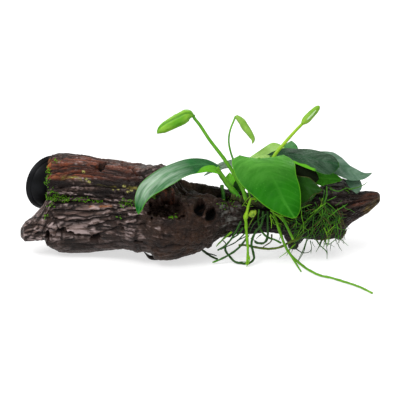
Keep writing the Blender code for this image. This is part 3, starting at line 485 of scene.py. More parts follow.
# Pale chips of bark on the slab: x, seen height, size
BARK_CHIPS = ((-92.8, 24, 0.7), (-88, 15.0, 0.8), (-90.5, 17, 0.7), (-69, 8.8, 0.7), (-65, 9.2, 0.6),
              (-57, 7.0, 0.7), (-53.5, 8.4, 0.9), (-102, 18.6, 0.6), (-60, 12.6, 0.8), (-97, 18.0, 0.5))
# Lines on the wood's front, as x and seen height: the algae, and the split beside the burl
OLIVE_LINE = ((-114, -100, -90, -80, -60, -50), (19.2, 18.4, 15.4, 13.8, 12.0, 9.8))
SPLIT_LINE = ((-62, -54, -47, -40), (29.5, 25.6, 21, 16.4))
# How far a seen place is inward of the tip's lower edge: a start, and the shares of x and seen height.
# TIP_LAYER is the thickness of the layers that show there.
TIP_EDGE = (89.4, -0.611, 0.791)
TIP_LAYER = 1.6

# Zones of the wood, as from and to of a fade. In x they are where the arms end, where the burl starts and
# ends, where the wood turns black and where it turns to the reddish tip. Below LOWER_SEEN, in seen height,
# the lower arm's grain is long and smooth. The last is how far below the aim the crests lose their painted
# highlight and turn dark.
PAST_FORK = (-58, -40)
BURL_START = (-52, -34)
BURL_END = (20, 50)
BLACK_FROM = (26, 40)
TIP_FROM = (96, 112)
LOWER_SEEN = (-1, 4)
HIGHLIGHT_FADE_SEEN = (29, 35)
# How far each kind of relief goes in or out, in millimetres, and where the wood is thick enough for it
WIDE_CRACK = 2.2
MIDDLING_CRACK = 1.5
FINE_CRACK = 0.75
CRUMBLY_CRACK = 0.9
THREAD_RELIEF = 0.25
GRIT_RELIEF = 0.22
LUMP_RELIEF = 0.5
BURL_LUMP = 1.2
BURL_KNOT = 1.8
BURL_GRAIN = 0.45
HOLLOW_RELIEF = 0.7
THICK_WOOD = 16
# Patches of the wood as they are seen: from and to in x, in height, and how softly they end. They are the
# slab's red face, the wood over the wide pit, the wear beside the shoot with its painted glints, and the
# wide pit itself, where the painted shade of the hollows is lighter.
SLAB_FACE = ((-125, -50), (17, 34), (5, 2.5))
OVER_PIT = ((-38, -22), (0, 8), (3, 2))
BESIDE_SHOOT = ((17, 31), (-21, -4), (4, 3))
WIDE_PIT = ((-40, -12), (-14, 12), (3, 3))

# Plain finishes: two colours, roughness, size of the clouds, height of the relief, and the rubber's shine
CLOUDED_FINISHES = {
    "black rubber": ((0.0025, 0.0027, 0.003), (0.006, 0.0065, 0.008), 0.42, 120.0, 0.00003, 0.09),
    "bright stalk": ((0.045, 0.20, 0.008), (0.11, 0.32, 0.015), 0.42, 90.0, 0.0001),
    # The dark stalk is a darker copy of the bright one, painted shade for the stalks behind and inside the
    # clump
    "dark stalk": ((0.015, 0.075, 0.008), (0.045, 0.15, 0.012), 0.45, 90.0, 0.0001),
    "yellow-green stalk": ((0.16, 0.36, 0.010), (0.28, 0.46, 0.02), 0.42, 90.0, 0.0001),
    "rhizome bark": ((0.012, 0.014, 0.006), (0.050, 0.065, 0.010), 0.55, 260.0, 0.0006),
    "bud skin": ((0.05, 0.15, 0.006), (0.30, 0.42, 0.03), 0.35, 330.0, 0.0002),
    "spadix grain": ((0.30, 0.50, 0.20), (0.55, 0.72, 0.42), 0.6, 400.0, 0.0004),
    "moss filaments": ((0.05, 0.17, 0.003), (0.14, 0.36, 0.008), 0.6, 400.0, 0.0002),
}
# The spathes' finishes: name, two colours, the crease's colour, and the finish of the stalk. The crease's
# colour is darker as painted shade on the left and middle spathes, and paler on the open right one.
SPATHE_FINISHES = {
    "left": ("bright spathe", (0.085, 0.30, 0.008), (0.20, 0.42, 0.030), (0.045, 0.19, 0.006),
             "bright stalk"),
    "middle": ("olive spathe", (0.10, 0.26, 0.014), (0.22, 0.40, 0.06), (0.04, 0.14, 0.008), "bright stalk"),
    "right": ("open spathe", (0.12, 0.30, 0.012), (0.22, 0.40, 0.03), (0.30, 0.50, 0.20),
              "yellow-green stalk"),
}
# The roots' scale of colours
ROOT_COLOURS = (
    (0.0, (0.005, 0.020, 0.004)), (0.25, (0.016, 0.070, 0.007)), (0.5, (0.060, 0.24, 0.008)),
    (0.72, (0.18, 0.42, 0.010)), (0.86, (0.065, 0.055, 0.012)), (1.0, (0.40, 0.36, 0.02)),
)
# Blade finishes: two greens, veins, underside, streaks of painted sheen and their share, and what else
# differs
BLADE_FINISHES = {
    "dark glossy blade": ((((0.003, 0.058, 0.008), (0.008, 0.105, 0.018)), (0.06, 0.22, 0.06),
                           (0.10, 0.36, 0.010), (0.33, 0.43, 0.33), 0.95),
                          {"span": (0.28, 0.46, 0.78, 0.93), "haze": 0.15, "shine": 0.02,
                           "drawn_out": (0.16, 1.0, 0.0)}),
    "bright blade": ((((0.006, 0.085, 0.001), (0.012, 0.130, 0.002)), (0.07, 0.30, 0.03),
                      (0.13, 0.38, 0.015), (0.12, 0.37, 0.055), 0.9),
                     {"span": (-1.0, 0.0, 0.05, 0.6), "haze": 0.4}),
    "blue-green blade": ((((0.003, 0.020, 0.006), (0.009, 0.042, 0.014)), (0.02, 0.08, 0.03),
                          (0.09, 0.34, 0.008), (0.09, 0.15, 0.10), 0.55),
                         {"span": (0.1, 0.5, 0.85, 0.98), "height": 0.0006}),
    "grey-green blade": ((((0.024, 0.080, 0.040), (0.054, 0.13, 0.072)), (0.08, 0.16, 0.09),
                          (0.04, 0.11, 0.04), (0.16, 0.235, 0.18), 0.8), {"haze": 0.15, "height": 0.0006}),
    "green back blade": ((((0.035, 0.165, 0.035), (0.080, 0.26, 0.08)), (0.10, 0.28, 0.08),
                          (0.05, 0.20, 0.03), (0.15, 0.31, 0.15), 0.6), {}),
    # The dim inner blade's very dark greens are painted shade, for leaves deep in the clump
    "dim inner blade": ((((0.004, 0.024, 0.002), (0.012, 0.052, 0.004)), (0.015, 0.07, 0.008),
                         (0.06, 0.04, 0.010), (0.02, 0.07, 0.015), 0.3), {}),
    # The maroon-black blade is a near-black leaf put in the deepest shade of the clump: its colour is painted
    # shade
    "maroon-black blade": ((((0.002, 0.005, 0.001), (0.007, 0.011, 0.003)), (0.010, 0.016, 0.005),
                            (0.015, 0.024, 0.006), (0.014, 0.02, 0.008), 0.2), {}),
    "fresh small blade": ((((0.030, 0.20, 0.006), (0.055, 0.28, 0.014)), (0.09, 0.34, 0.03),
                           (0.11, 0.32, 0.02), (0.07, 0.28, 0.03), 0.3), {}),
    "young leaf blade": ((((0.10, 0.40, 0.015), (0.16, 0.48, 0.03)), (0.20, 0.52, 0.06),
                          (0.20, 0.45, 0.03), (0.20, 0.52, 0.07), 0.3), {}),
    "pale blade": ((((0.27, 0.50, 0.09), (0.42, 0.65, 0.20)), (0.40, 0.64, 0.20),
                    (0.12, 0.36, 0.02), (0.42, 0.66, 0.24), 0.5), {}),
    # The misty blade's upper face turns down, away from the lamps: its pale greys are painted light, and its
    # underside is the darker side
    "misty blade": ((((0.40, 0.56, 0.42), (0.54, 0.68, 0.56)), (0.56, 0.70, 0.57),
                     (0.15, 0.29, 0.16), (0.50, 0.64, 0.52), 0.3), {}),
}
LEAF_FINISHES = {
    "left": "dark glossy blade", "front": "bright blade", "right": "blue-green blade",
    "far_right": "grey-green blade", "drooping": "grey-green blade", "back_light": "pale blade",
    "back_grey": "green back blade", "inner": "dim inner blade", "inner_dark": "maroon-black blade",
    "inner_bright": "fresh small blade", "small_round": "young leaf blade", "small_dark": "dim inner blade",
    "back_left": "misty blade",
}

# The wood's own middle line, from which its rings are measured: x, y, z
HEART = (
    (LOG_LEFT, 2, 19), (-134, 3, 22.5), (-127, 5, 27), (-123.5, 5.5, 33), (SLAB_END, 6, 38), (-118, 7.5, 42),
    (-110, 10, 44), (-98, 13, 45), (-80, 14, 44), (-60, 9, 42), (FORK_LEFT, 4, 41), (-40, -1, 38.5),
    (-24, -3, 37), (-8, -1, 32), (8, 4, 33), (24, 11, 32.4), (FORK_RIGHT, 13, 31.2), (64, 16, 30),
    (92, 16, 29), (TIP_FORK, 15, 30.2), (123, 14, 36.4), (136, 12, 41.6), (LOG_RIGHT, 12, 45.6),
)
# Hollows in the wood: middle, half sizes, how ragged the rim is
HOLLOWS = (
    ((-25, -33, 56), (13, 14, 9), 0.5),
    ((-15, -31, 52.5), (7, 9, 6), 0.45),
    ((-34, -31, 52), (6, 8, 7), 0.45),
    ((0, -21, 49), (4.8, 14, 6.4), 0.14),
    ((8.6, -19, 42.8), (4.8, 13, 6.0), 0.14),
    ((6, 3, 60), (31, 9, 20), 0.12),
    ((-12, -12, 66), (8, 10, 8), 0.25),
    ((-64, -24, 33), (5, 5, 3.0), 0.3),
    ((-48, -30, 21), (7, 4, 3.0), 0.3),
    ((-121, -8, 20), (3, 5, 5), 0.4),
    ((104, -3, 44), (8, 4, 4), 0.2),
)


def placed(points):
    """Sketch millimetres as metres in the part's frame."""
    return (np.asarray(points, float) - MIDDLE) * MM


def unit(vectors):
    """Vectors divided by their lengths."""
    return vectors / np.maximum(np.linalg.norm(vectors, axis=-1, keepdims=True), 1e-9)


def smooth_path(points, share):
    """Points on a Catmull-Rom curve through the given points, at shares from 0 to 1 of its spans."""
    given = np.array(points, float)
    padded = np.vstack([2 * given[0] - given[1], given, 2 * given[-1] - given[-2]])
    spans = len(given) - 1
    along = np.asarray(share, float) * spans
    start = np.minimum(along.astype(int), spans - 1)
    t = (along - start)[:, None]
    a, b, c, d = (padded[start + k] for k in range(4))
    return 0.5 * (2 * b + (c - a) * t + (2 * a - 5 * b + 4 * c - d) * t**2 + (3 * b - a - 3 * c + d) * t**3)


def fade(values, low, high):
    """0 below low, 1 above high and a smooth S between."""
    t = np.clip((values - low) / (high - low), 0, 1)
    return t * t * (3 - 2 * t)


def lattice(i, j, k, seed):
    """A number from -1 to 1 for each whole place: the three counts and the seed mixed in 32 bits."""
    mixed = (i.astype(np.uint32) * np.uint32(374761393) + j.astype(np.uint32) * np.uint32(668265263)
             + k.astype(np.uint32) * np.uint32(2246822519) + np.uint32(seed * 3266489917 % 2**32))
    mixed = (mixed ^ (mixed >> np.uint32(13))) * np.uint32(1274126177)
    mixed = mixed ^ (mixed >> np.uint32(16))
    return mixed / 2147483647.5 - 1


def noise(points, seed):
    """Lattice numbers at the eight corners round each point, mixed by a quintic S along each axis.

    The seed picks the noise. The points are divided by the size of its waves before.
    """
    low = np.floor(points).astype(np.int64)
    t = points - low
    t = t**3 * (t * (6 * t - 15) + 10)
    i, j, k = low[..., 0], low[..., 1], low[..., 2]
    total = 0
    for a in (0, 1):
        for b in (0, 1):
            for c in (0, 1):
                weight = ((t[..., 0] if a else 1 - t[..., 0]) * (t[..., 1] if b else 1 - t[..., 1])
                          * (t[..., 2] if c else 1 - t[..., 2]))
                total = total + weight * lattice(i + a, j + b, k + c, seed)
    return total


def cracks(points, seed, sharpness=3):
    """1 along the lines where the noise is 0, falling off quickly beside them."""
    return np.clip(1 - 1.9 * np.abs(noise(points, seed)), 0, 1) ** sharpness


def make_piece(name, points, faces, finish, nodes=(), marks=None):
    """A mesh object from sketch points and faces, with its doubles merged and its faces turned outwards.

    marks is {attribute: one value or vector per point}.
    """
    mesh = bpy.data.meshes.new(name)
    mesh.from_pydata(placed(points), [], [list(face) for face in faces])
    for mark, values in (marks or {}).items():
        vector = values.ndim == 2
        layer = mesh.attributes.new(mark, "FLOAT_VECTOR" if vector else "FLOAT", "POINT")
        layer.data.foreach_set("vector" if vector else "value", values.astype(np.float32).ravel())
    shape = bmesh.new()
    shape.from_mesh(mesh)
    bmesh.ops.remove_doubles(shape, verts=shape.verts, dist=MERGE)
    bmesh.ops.dissolve_degenerate(shape, edges=shape.edges, dist=MERGE * 0.5)
    if shape.calc_volume(signed=True) < 0:
        bmesh.ops.reverse_faces(shape, faces=shape.faces)
    shape.to_mesh(mesh)
    shape.free()
    mesh.shade_smooth()
    mesh.materials.append(finish)
    piece = bpy.data.objects.new(name, mesh)
    bpy.context.scene.collection.objects.link(piece)
    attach(piece, "root")
    if nodes:
        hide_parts(*nodes)


def as_vectors(sets):
    """Marks given as three values each, as one vector per point."""
    return {mark: np.stack(np.broadcast_arrays(*values), -1).reshape(-1, 3) for mark, values in sets.items()}


def ring_faces(rings, sides):
    """Quads of a tube whose point j on ring i is number i * sides + j."""
    index = np.arange(rings * sides).reshape(rings, sides)
    after = np.roll(index, -1, axis=1)
    return np.stack([index[:-1], after[:-1], after[1:], index[1:]], -1).reshape(-1, 4)


def closed_rings(rings):
    """Points and faces of a tube of rings, each end closed by a fan on a middle point."""
    count, sides = rings.shape[:2]
    points = np.vstack([rings.reshape(-1, 3), rings[0].mean(0), rings[-1].mean(0)])
    near, far = count * sides, count * sides + 1
    edge = np.arange(sides)
    after = np.roll(edge, -1)
    last = (count - 1) * sides
    fans = [(near, b, a) for a, b in zip(edge, after)]
    fans += [(far, last + a, last + b) for a, b in zip(edge, after)]
    return points, [*ring_faces(count, sides).tolist(), *fans]


def joined(shapes):
    """Several (points, faces) as one."""
    points, faces, start = [], [], 0
    for some, more in shapes:
        points.append(some)
        faces += [[start + k for k in face] for face in more]
        start += len(some)
    return np.vstack(points), faces


def tube_rings(points, radii, rings, sides, rough, seed):
    """Rings round a smooth path: place + radius * (across * cos + over * sin), made uneven by a noise.

    across is the path's direction crossed with the axis it runs least along, and over is square to both.
    """
    share = np.linspace(0, 1, rings)
    route = smooth_path(points, share)
    along = unit(np.gradient(route, axis=0))
    axis = np.eye(3)[np.abs(along).mean(0).argmin()]
    across = unit(np.cross(along, axis))
    over = np.cross(along, across)
    reach = np.interp(share, np.linspace(0, 1, len(radii)), radii)[:, None, None]
    turn = np.linspace(0, 2 * math.pi, sides, endpoint=False)[None, :, None]
    made = route[:, None] + reach * (across[:, None] * np.cos(turn) + over[:, None] * np.sin(turn))
    return made + (made - route[:, None]) * rough * noise(made / 2.5, seed)[..., None]


def limb(sections, x, y, z, roundness):
    """How far (y, z) is outside the upright oval at x, in rough millimetres and negative inside.

    The oval is the set where |dy / depth|^n + |dz / height|^n is 1.
    """
    table = np.array(sections, float)
    middle_y, middle_z, depth, height = (np.interp(x, table[:, 0], table[:, k]) for k in range(1, 5))
    power = ((np.abs(y - middle_y) / depth) ** roundness + (np.abs(z - middle_z) / height) ** roundness)
    return (power ** (1 / roundness) - 1) * np.minimum(depth, height)


def either(first, second, blend):
    """The smooth lower of two outside distances, so that two forms flow into each other."""
    low = np.minimum(first, second)
    return low - blend * np.log(np.exp((low - first) / blend) + np.exp((low - second) / blend))


def knob(place, half_sizes, x, y, z):
    """The outside distance of an ellipsoid, in rough millimetres."""
    parts = [((value - middle) / half) ** 2 for value, middle, half in zip((x, y, z), place, half_sizes)]
    return (np.sqrt(parts[0] + parts[1] + parts[2]) - 1) * min(half_sizes)


def outside_wood(x, y, z):
    """The log's outside distance: the two arms, the stem and the knobs, less the slanted saw cut.

    Past the fork the distance of the arms and of the stem grows, so that each keeps to its own side.
    """
    beyond = np.where(x < SLAB_END, FAR_OFF, 0)
    upper = limb(UPPER_ARM, x, y, z, roundness=3.0) + beyond
    lower = limb(LOWER_ARM, x, y, z, roundness=2.5)
    inner = limb(BRIDGE, x, y, z, roundness=2.0) + beyond
    arms = either(either(upper, lower, blend=0.5), inner, blend=0.6) + np.maximum(x - FORK_LEFT, 0) * 0.6
    stem = limb(STEM, x, y, z, roundness=2.3) + np.maximum(FORK_LEFT - 4 - x, 0) * 0.7
    wood = either(arms, stem, blend=2.5)
    for place, half_sizes, blend in KNOBS:
        wood = either(wood, knob(place, half_sizes, x, y, z), blend)
    ahead = (x - CUP_CENTRE[0]) * CUP_MOUTH[0] + (y - CUP_CENTRE[1]) * CUP_MOUTH[1]
    aside = (x - CUP_CENTRE[0]) * CUP_MOUTH[1] - (y - CUP_CENTRE[1]) * CUP_MOUTH[0]
    from_axis = np.sqrt(aside ** 2 + (z - CUP_CENTRE[2]) ** 2)
    return np.maximum(wood, ahead + np.interp(from_axis, *CUP_ROOM))


def seen_height(points):
    """How high a place looks in the photograph, in millimetres above the aim."""
    return BACK_SEEN * points[..., 1] + UP_SEEN * (points[..., 2] - AIM_HEIGHT)


def in_space(x, seen, y):
    """Places in space for places as they are seen, and their y."""
    return np.stack([x, y, AIM_HEIGHT + (seen - BACK_SEEN * y) / UP_SEEN], -1)


def within(values, low, high, soft):
    """1 between low and high, fading to 0 over soft on both sides."""
    return fade(values, low - soft, low) * (1 - fade(values, high, high + soft))


def patch(x, seen, span, heights, soft):
    """1 in a box of the seen plane, fading to 0 over soft in x and in seen height."""
    return within(x, *span, soft[0]) * within(seen, *heights, soft[1])


def reach_of_wood(x, turn):
    """How far the wood's surface is from its heart line in each direction, found by stepping outwards."""
    heart = np.array(HEART, float)
    middle = np.stack([np.interp(x, heart[:, 0], heart[:, k]) for k in (1, 2)], -1)
    steps = np.linspace(0, SEARCH_REACH, SEARCH_STEPS)
    found = []
    for some in np.array_split(np.arange(len(x)), max(1, len(x) // 24)):
        y = middle[some, 0, None, None] + np.cos(turn)[None, :, None] * steps
        z = middle[some, 1, None, None] + np.sin(turn)[None, :, None] * steps
        out = outside_wood(x[some][:, None, None], y, z)
        first = np.maximum((out > 0).argmax(2), 1)[..., None]
        after = np.take_along_axis(out, first, 2)[..., 0]
        before = np.take_along_axis(out, first - 1, 2)[..., 0]
        found.append((first[..., 0] - after / (after - before)) * steps[1])
    return middle, np.vstack(found)


def carve(reach, x, middle, turn, base):
    """Takes the reach back to the near wall of each ragged ellipsoid that the surface lies in."""
    wobble = noise(base / 4.5, 31) + 0.5 * noise(base / 1.8, 32)
    toward = np.stack([np.zeros_like(turn), np.cos(turn), np.sin(turn)], -1)
    for place, half_sizes, ragged in HOLLOWS:
        half = np.array(half_sizes, float) * (1 + ragged * wobble[..., None])
        start = (np.stack([x, middle[:, 0], middle[:, 1]], -1)[:, None] - np.array(place, float)) / half
        step = toward[None] / half
        a, b = (step * step).sum(-1), (start * step).sum(-1)
        c = (start * start).sum(-1) - 1
        root = np.sqrt(np.maximum(b * b - a * c, 0))
        near, far = (-b - root) / a, (-b + root) / a
        hit = (b * b > a * c) & (near < reach) & (far > reach) & (near > 0)
        reach = np.where(hit, np.maximum(near, 3), reach)
    return reach


def wood_marks(base, front, hollow, groove_shade, crest_highlight):
    """What the wood's material reads at each point: painted shade and highlight along the relief, streaks,
    the colour of each part and bare wood.

    Each mark is 1 where the photograph shows it, by x and seen height, and front keeps it to the side of
    the viewer. patchy is a noise drawn out along the grain that breaks the marks up.
    """
    x, seen = base[..., 0], seen_height(base)
    patchy = noise(base / (7, 2.2, 2.2), 20)
    # The slab: red wood, and a few spots of it over the wide pit, with a line of algae and pale chips
    slab = front * patch(x, seen, *SLAB_FACE)
    red = (slab * (1 - 0.55 * fade(x, -88, -74)) * fade(seen + 2 * patchy, 15, 19)
           * (1 - 0.4 * fade(seen, 28, 31)))
    over_pit = front * patch(x, seen, *OVER_PIT) * fade(patchy, 0.0, 0.3)
    red = np.maximum(red, 0.7 * over_pit)
    off_line = seen - np.interp(x, *OLIVE_LINE) - 0.7 * patchy
    olive = front * within(x, -115, -50, 2) * np.exp(-off_line ** 2) * fade(patchy, -0.35, 0.1)
    chips = 0 * x
    for place, height, size in BARK_CHIPS:
        away = ((x - place) / (1.5 * size)) ** 2 + ((seen - height) / size) ** 2
        chips = np.maximum(chips, front * fade(1.6 - away - 0.9 * patchy, 0.2, 0.9))
    # Orange fresh wood on the sawn edge, and as a thin line on the lower arm
    orange = front * within(seen, 25, 34.5, 1) * (1 - fade(x, -119.8, -118.0))
    off_line = (seen + 5.2 - 0.03 * (x + 78)) / 0.8
    thin_line = np.exp(-off_line ** 2) * within(x, -87, -71, 2) * fade(patchy, -0.3, 0.2)
    orange = np.maximum(orange, 0.8 * front * thin_line)
    # The rusty burl, the black right branch, and the tip with reddish wood and a yellow rim
    rust = within(x, -40, 2, 14) * fade(noise(base / 9, 23), -0.7, 0.2)
    inward = TIP_EDGE[0] + TIP_EDGE[1] * x + TIP_EDGE[2] * seen + 0.5 * patchy
    dark = fade(x, *BLACK_FROM) * (1 - 0.85 * fade(x, *TIP_FROM) * (1 - 0.8 * fade(inward, 8, 12)))
    streaky = fade(noise(base / (14, 4, 4), 24), -0.6, 0.3)
    bare = fade(x, *TIP_FROM) * streaky * (0.25 + 0.75 * within(inward, 4, 11, 2.5))
    rim = fade(x, 128, 136) * (1 - fade(inward, 2, 5))
    # Grey wear over the split, on the hump and in the layers of the tip, and beside the shoot grey wear with
    # wet glints painted in as highlight
    wear_and_glints = front * patch(x, seen, *BESIDE_SHOOT) * fade(patchy, -0.3, 0.3)
    over_split = fade(seen - np.interp(x, *SPLIT_LINE), 0, 1.5) * fade(seen, 24, 26)
    wear_and_glints = np.maximum(wear_and_glints, 0.6 * front * within(x, -76, -34, 2) * over_split)
    wear_and_glints = np.maximum(wear_and_glints, within(x, 99, 123, 4) * fade(seen + patchy, 4, 8))
    layers = (0.5 + 0.5 * np.cos(2 * math.pi * inward / TIP_LAYER)) * (1 - fade(inward, 4, 8))
    wear_and_glints = np.maximum(wear_and_glints, 0.8 * front * fade(x, 108, 116) * layers)
    sets = {
        "wood_shade_highlight": (hollow, groove_shade, crest_highlight), "wood_streaks": (red, olive, orange),
        "wood_place": (rust, dark, bare), "wood_bare": (rim, wear_and_glints, chips),
    }
    return as_vectors(sets)


def log_points(x, middle, reach, turn):
    """Points at the given reach from the heart line, one ring for each x."""
    return np.stack([np.broadcast_to(x[:, None], reach.shape), middle[:, :1] + reach * np.cos(turn),
                     middle[:, 1:] + reach * np.sin(turn)], -1)


def seam_cuts(along, seen, front):
    """How far each point is in a seam, from 0 to 1, and how deep the seams cut there."""
    inside, cut = 0 * along, 0 * along
    for route, half_width, depth in SEAMS:
        places = np.array(route, float)
        here = front * within(along, places[0, 0], places[-1, 0], SEAM_END)
        shape = here * np.exp(-((seen - np.interp(along, places[:, 0], places[:, 1])) / half_width) ** 2)
        inside, cut = np.maximum(inside, shape), np.maximum(cut, shape * depth)
    return inside, cut


def pit_cuts(base, front):
    """How far each point is in a ragged pit, from 0 to 1, and how deep the pits cut there."""
    along, seen = base[..., 0], seen_height(base)
    inside, cut = 0 * along, 0 * along
    ragged = 0.45 * noise(base / (2.4, 1.7, 1.7), 29) + 0.3 * noise(base / 6, 30)
    for place, height, half_x, half_height, depth in PITS:
        away = ((along - place) / half_x) ** 2 + ((seen - height) / half_height) ** 2
        shape = front * fade(1.1 - away + ragged, 0, 0.7)
        inside, cut = np.maximum(inside, shape), np.maximum(cut, shape * depth)
    return inside, cut


def grain_places(x, reach, turn, base, beyond):
    """Where the noises of the grain are read.

    On the arms the grain keeps its height, drawn a little to the fork. Beyond them it turns round the log
    with the angle, and wanders.
    """
    # How far the grain has turned round the log at each x, in radians, past the fork
    wander = (0.35 * noise(np.stack([x / 46, x * 0, x * 0], -1), 3) + 0.0016 * x)[:, None] * beyond
    size = reach * (1 - beyond) + 30 * beyond
    along, height = base[..., 0], base[..., 2]
    # How much the grain of the arms rises for each millimetre towards the fork, by its height
    drawn = 0.13 - 0.19 * fade(height, 44, 56) + 0.1 * within(height, 12, 30, 6)
    slope = np.clip(along + 118, 0, 76) * drawn
    arc = np.stack([along, size * np.cos(turn + wander), size * np.sin(turn + wander) - slope], -1)
    return arc + (0.8 + 1.6 * beyond)[..., None] * noise(base / (34, 12, 12), 4)[..., None] * (0, 1, 1)


def log_surface(x, walls):
    """Rings of the log at the given x, with the marks that its material reads.

    The surface is the reach of the wood, plus lumps, minus cracks along the grain, the drawn seams and
    the pits, with the hollows carved out. burl is 1 where the wood is lumpy and hardly cracked, flowing
    where its grain is long and smooth, on the lower arm. walls gives the reach at both ends of the step
    to the slabs, and each ring's share of the way between them, or -1 where it isn't on the step. It is
    None for a piece without the step.
    """
    turn = np.linspace(0, 2 * math.pi, COLUMNS, endpoint=False)
    middle, reach = reach_of_wood(x, turn)
    if walls is not None:
        low, high, share = walls
        reach = np.where(share[:, None] >= 0, low + (high - low) * np.maximum(share, 0)[:, None], reach)
    base = log_points(x, middle, reach, turn)
    along, seen = base[..., 0], seen_height(base)
    front = np.broadcast_to(fade(BACK_SEEN * np.sin(turn) - UP_SEEN * np.cos(turn), -0.45, -0.2), reach.shape)
    beyond = fade(along, *PAST_FORK)
    burl = fade(along, *BURL_START) * (1 - 0.7 * fade(along, *BURL_END))
    flowing = (1 - fade(along, *BURL_START)) * (1 - fade(seen, *LOWER_SEEN))
    sway = grain_places(x, reach, turn, base, beyond)
    wide = cracks(sway / (120, 8.5, 8.5), 11)
    middling = cracks(sway / (80, 3.4, 3.4), 12, 2)
    fine = cracks(sway / (34, 1.7, 1.7), 13, 1.5)
    crumbs = cracks(base / (4.5, 3.2, 3.2), 26, 1.2)
    thread = (noise(sway / (8, 0.9, 0.9), 14) * (1 - flowing)
              + 1.5 * flowing * noise(sway / (52, 1.7, 1.7), 28))
    grit = noise(base / 1.5, 25)
    lumps = noise(base / 19, 15) + 0.5 * noise(base / 8, 16)
    knots = np.clip(noise(base / 6, 17), 0, 1) ** 2
    grain = 1 - 0.78 * burl - 0.55 * flowing
    wavy = (seen + 0.8 * noise(base / (9, 3, 3), 22)
            + (0.45 - 0.3 * flowing) * noise(base / (2.6, 1.6, 1.6), 27))
    seam, cut_seams = seam_cuts(along, wavy, front)
    pit, cut_pits = pit_cuts(base, front)
    lift = (-WIDE_CRACK * wide * grain - MIDDLING_CRACK * middling * grain * (1 - 0.5 * flowing)
            - FINE_CRACK * fine * (1 - 0.6 * burl) * (1 - 0.75 * flowing)
            + (THREAD_RELIEF + 0.25 * flowing) * thread + GRIT_RELIEF * grit
            + (LUMP_RELIEF + BURL_LUMP * burl) * (1 - 0.6 * flowing) * lumps + BURL_KNOT * burl * knots
            - CRUMBLY_CRACK * crumbs * (0.25 + 0.5 * burl) * (1 - 0.8 * flowing)
            + BURL_GRAIN * burl * noise(base / 2.2, 18))
    # The relief is less where the wood is thin and near the surface it rests on
    slender = np.clip(reach / THICK_WOOD, 0.15, 1) * (0.35 + 0.65 * fade(base[..., 2], 3, 11))
    plain = reach + lift * slender - np.maximum(cut_seams, cut_pits)
    cut = carve(plain, x, middle, turn, base)
    # hollow is how deep a point lies in a hollow or pit; the material paints it dark, as shade
    hollow = np.maximum(np.clip((plain - cut) / 4, 0, 1), pit)
    points = log_points(x, middle, cut + hollow * HOLLOW_RELIEF * noise(base / 1.7, 19), turn)
    points[..., 2] = np.maximum(points[..., 2], LOWEST)
    scored = (0.9 * wide * grain + 0.75 * middling * grain
              + 0.45 * fine * (1 - 0.6 * flowing) * (1 - 0.5 * burl) + 0.35 * crumbs * burl)
    raised = (1.2 * thread + 1.4 * grit * (1 - 0.5 * flowing) + 1.6 * (1 - middling)
              - 1.6 * crumbs * (1 - 0.7 * flowing) + 0.9 * flowing)
    # The crests' painted highlight, a wet sheen, is left out of the seams and fades where the wood is seen
    # low and over the burl
    crest_highlight = (fade(raised, 0.9, 2.6) * (1 - seam) * (1 - 0.85 * fade(-wavy, *HIGHLIGHT_FADE_SEEN))
             * (1 - 0.85 * fade(along, -34, -18)))
    # In the wide pit the hollows' painted shade is lighter
    wide_pit = patch(along, wavy, *WIDE_PIT)
    # The grooves of cracks and seams are painted near black, as shade
    groove_shade = np.maximum(np.clip(scored, 0, 1), seam)
    return points, wood_marks(base, front, hollow * (1 - 0.4 * wide_pit), groove_shade, crest_highlight)


def make_log(finish):
    """The log in three pieces that share their rings at the forks. Returns their rings.

    The step from the toe to the slabs is too steep for rings by x, so its rings lie between its two ends.
    """
    near, far = SLAB_END - 0.5, SLAB_END + 0.3
    toe = np.arange(LOG_LEFT, SLAB_END - 0.8, RING_STEP)
    slabs = np.linspace(SLAB_END + 0.6, FORK_LEFT, SLAB_RINGS)
    x = np.concatenate([toe, np.linspace(near, far, WALL_RINGS), slabs])
    turn = np.linspace(0, 2 * math.pi, COLUMNS, endpoint=False)
    low, high = (reach_of_wood(np.array([end]), turn)[1] for end in (near, far))
    share = np.full(len(x), -1.0)
    share[len(toe):len(toe) + WALL_RINGS] = np.linspace(0, 1, WALL_RINGS)
    spans = (
        ("driftwood_arms", x, (low, high, share), ("driftwood_upper_arm", "driftwood_lower_arm")),
        ("driftwood_burl", np.linspace(FORK_LEFT, FORK_RIGHT, BURL_RINGS), None, ("driftwood_trunk",)),
        ("driftwood_thin_end", np.linspace(FORK_RIGHT, LOG_RIGHT, THIN_END_RINGS), None,
         ("driftwood_right_branch", "driftwood_branch_tip", "driftwood_peg", "driftwood_back_stub")),
    )
    surfaces = []
    for name, places, walls, nodes in spans:
        rings, marks = log_surface(places, walls)
        surfaces.append(rings)
        snags = [closed_rings(tube_rings(*form)) for piece, *form in SNAGS if piece == name]
        points, faces = joined([closed_rings(rings), *snags])
        for mark, values in marks.items():
            rest = np.zeros((len(points) - len(values), 3))
            rest[:, 1] = SNAG_DARKNESS if mark == "wood_place" else 0
            marks[mark] = np.vstack([values, rest])
        make_piece(name, points, faces, finish, nodes, marks)
    return surfaces


def blade_width(t, peak, base_share):
    """Half width as a share of the greatest: round base, widest at the peak, pointed tip."""
    rise = base_share + (1 - base_share) * np.sin(0.5 * math.pi * np.minimum(t / peak, 1))
    fall = np.clip((t - peak) / (1 - peak), 0, 1)
    return rise * (1 - fall**2.5) + 0.03 * (1 - t)


def side_width(name, t, first):
    """Half width at each share t of the midrib, on the first or the other side of it, in millimetres.

    It is read from the leaf's own widths and evened out over a few rows, or else is the round-based oval.
    """
    if name not in BLADE_SIDES:
        return LEAVES[name][1] * blade_width(t, BLADE_PEAK, LEAVES[name][6])
    read = np.interp(t, WIDTH_STATIONS, BLADE_SIDES[name][0 if first else 1])
    reach = 3
    window = np.hanning(2 * reach + 3)
    return np.convolve(np.pad(read, reach, mode="edge"), window[1:-1] / window.sum(), "valid")


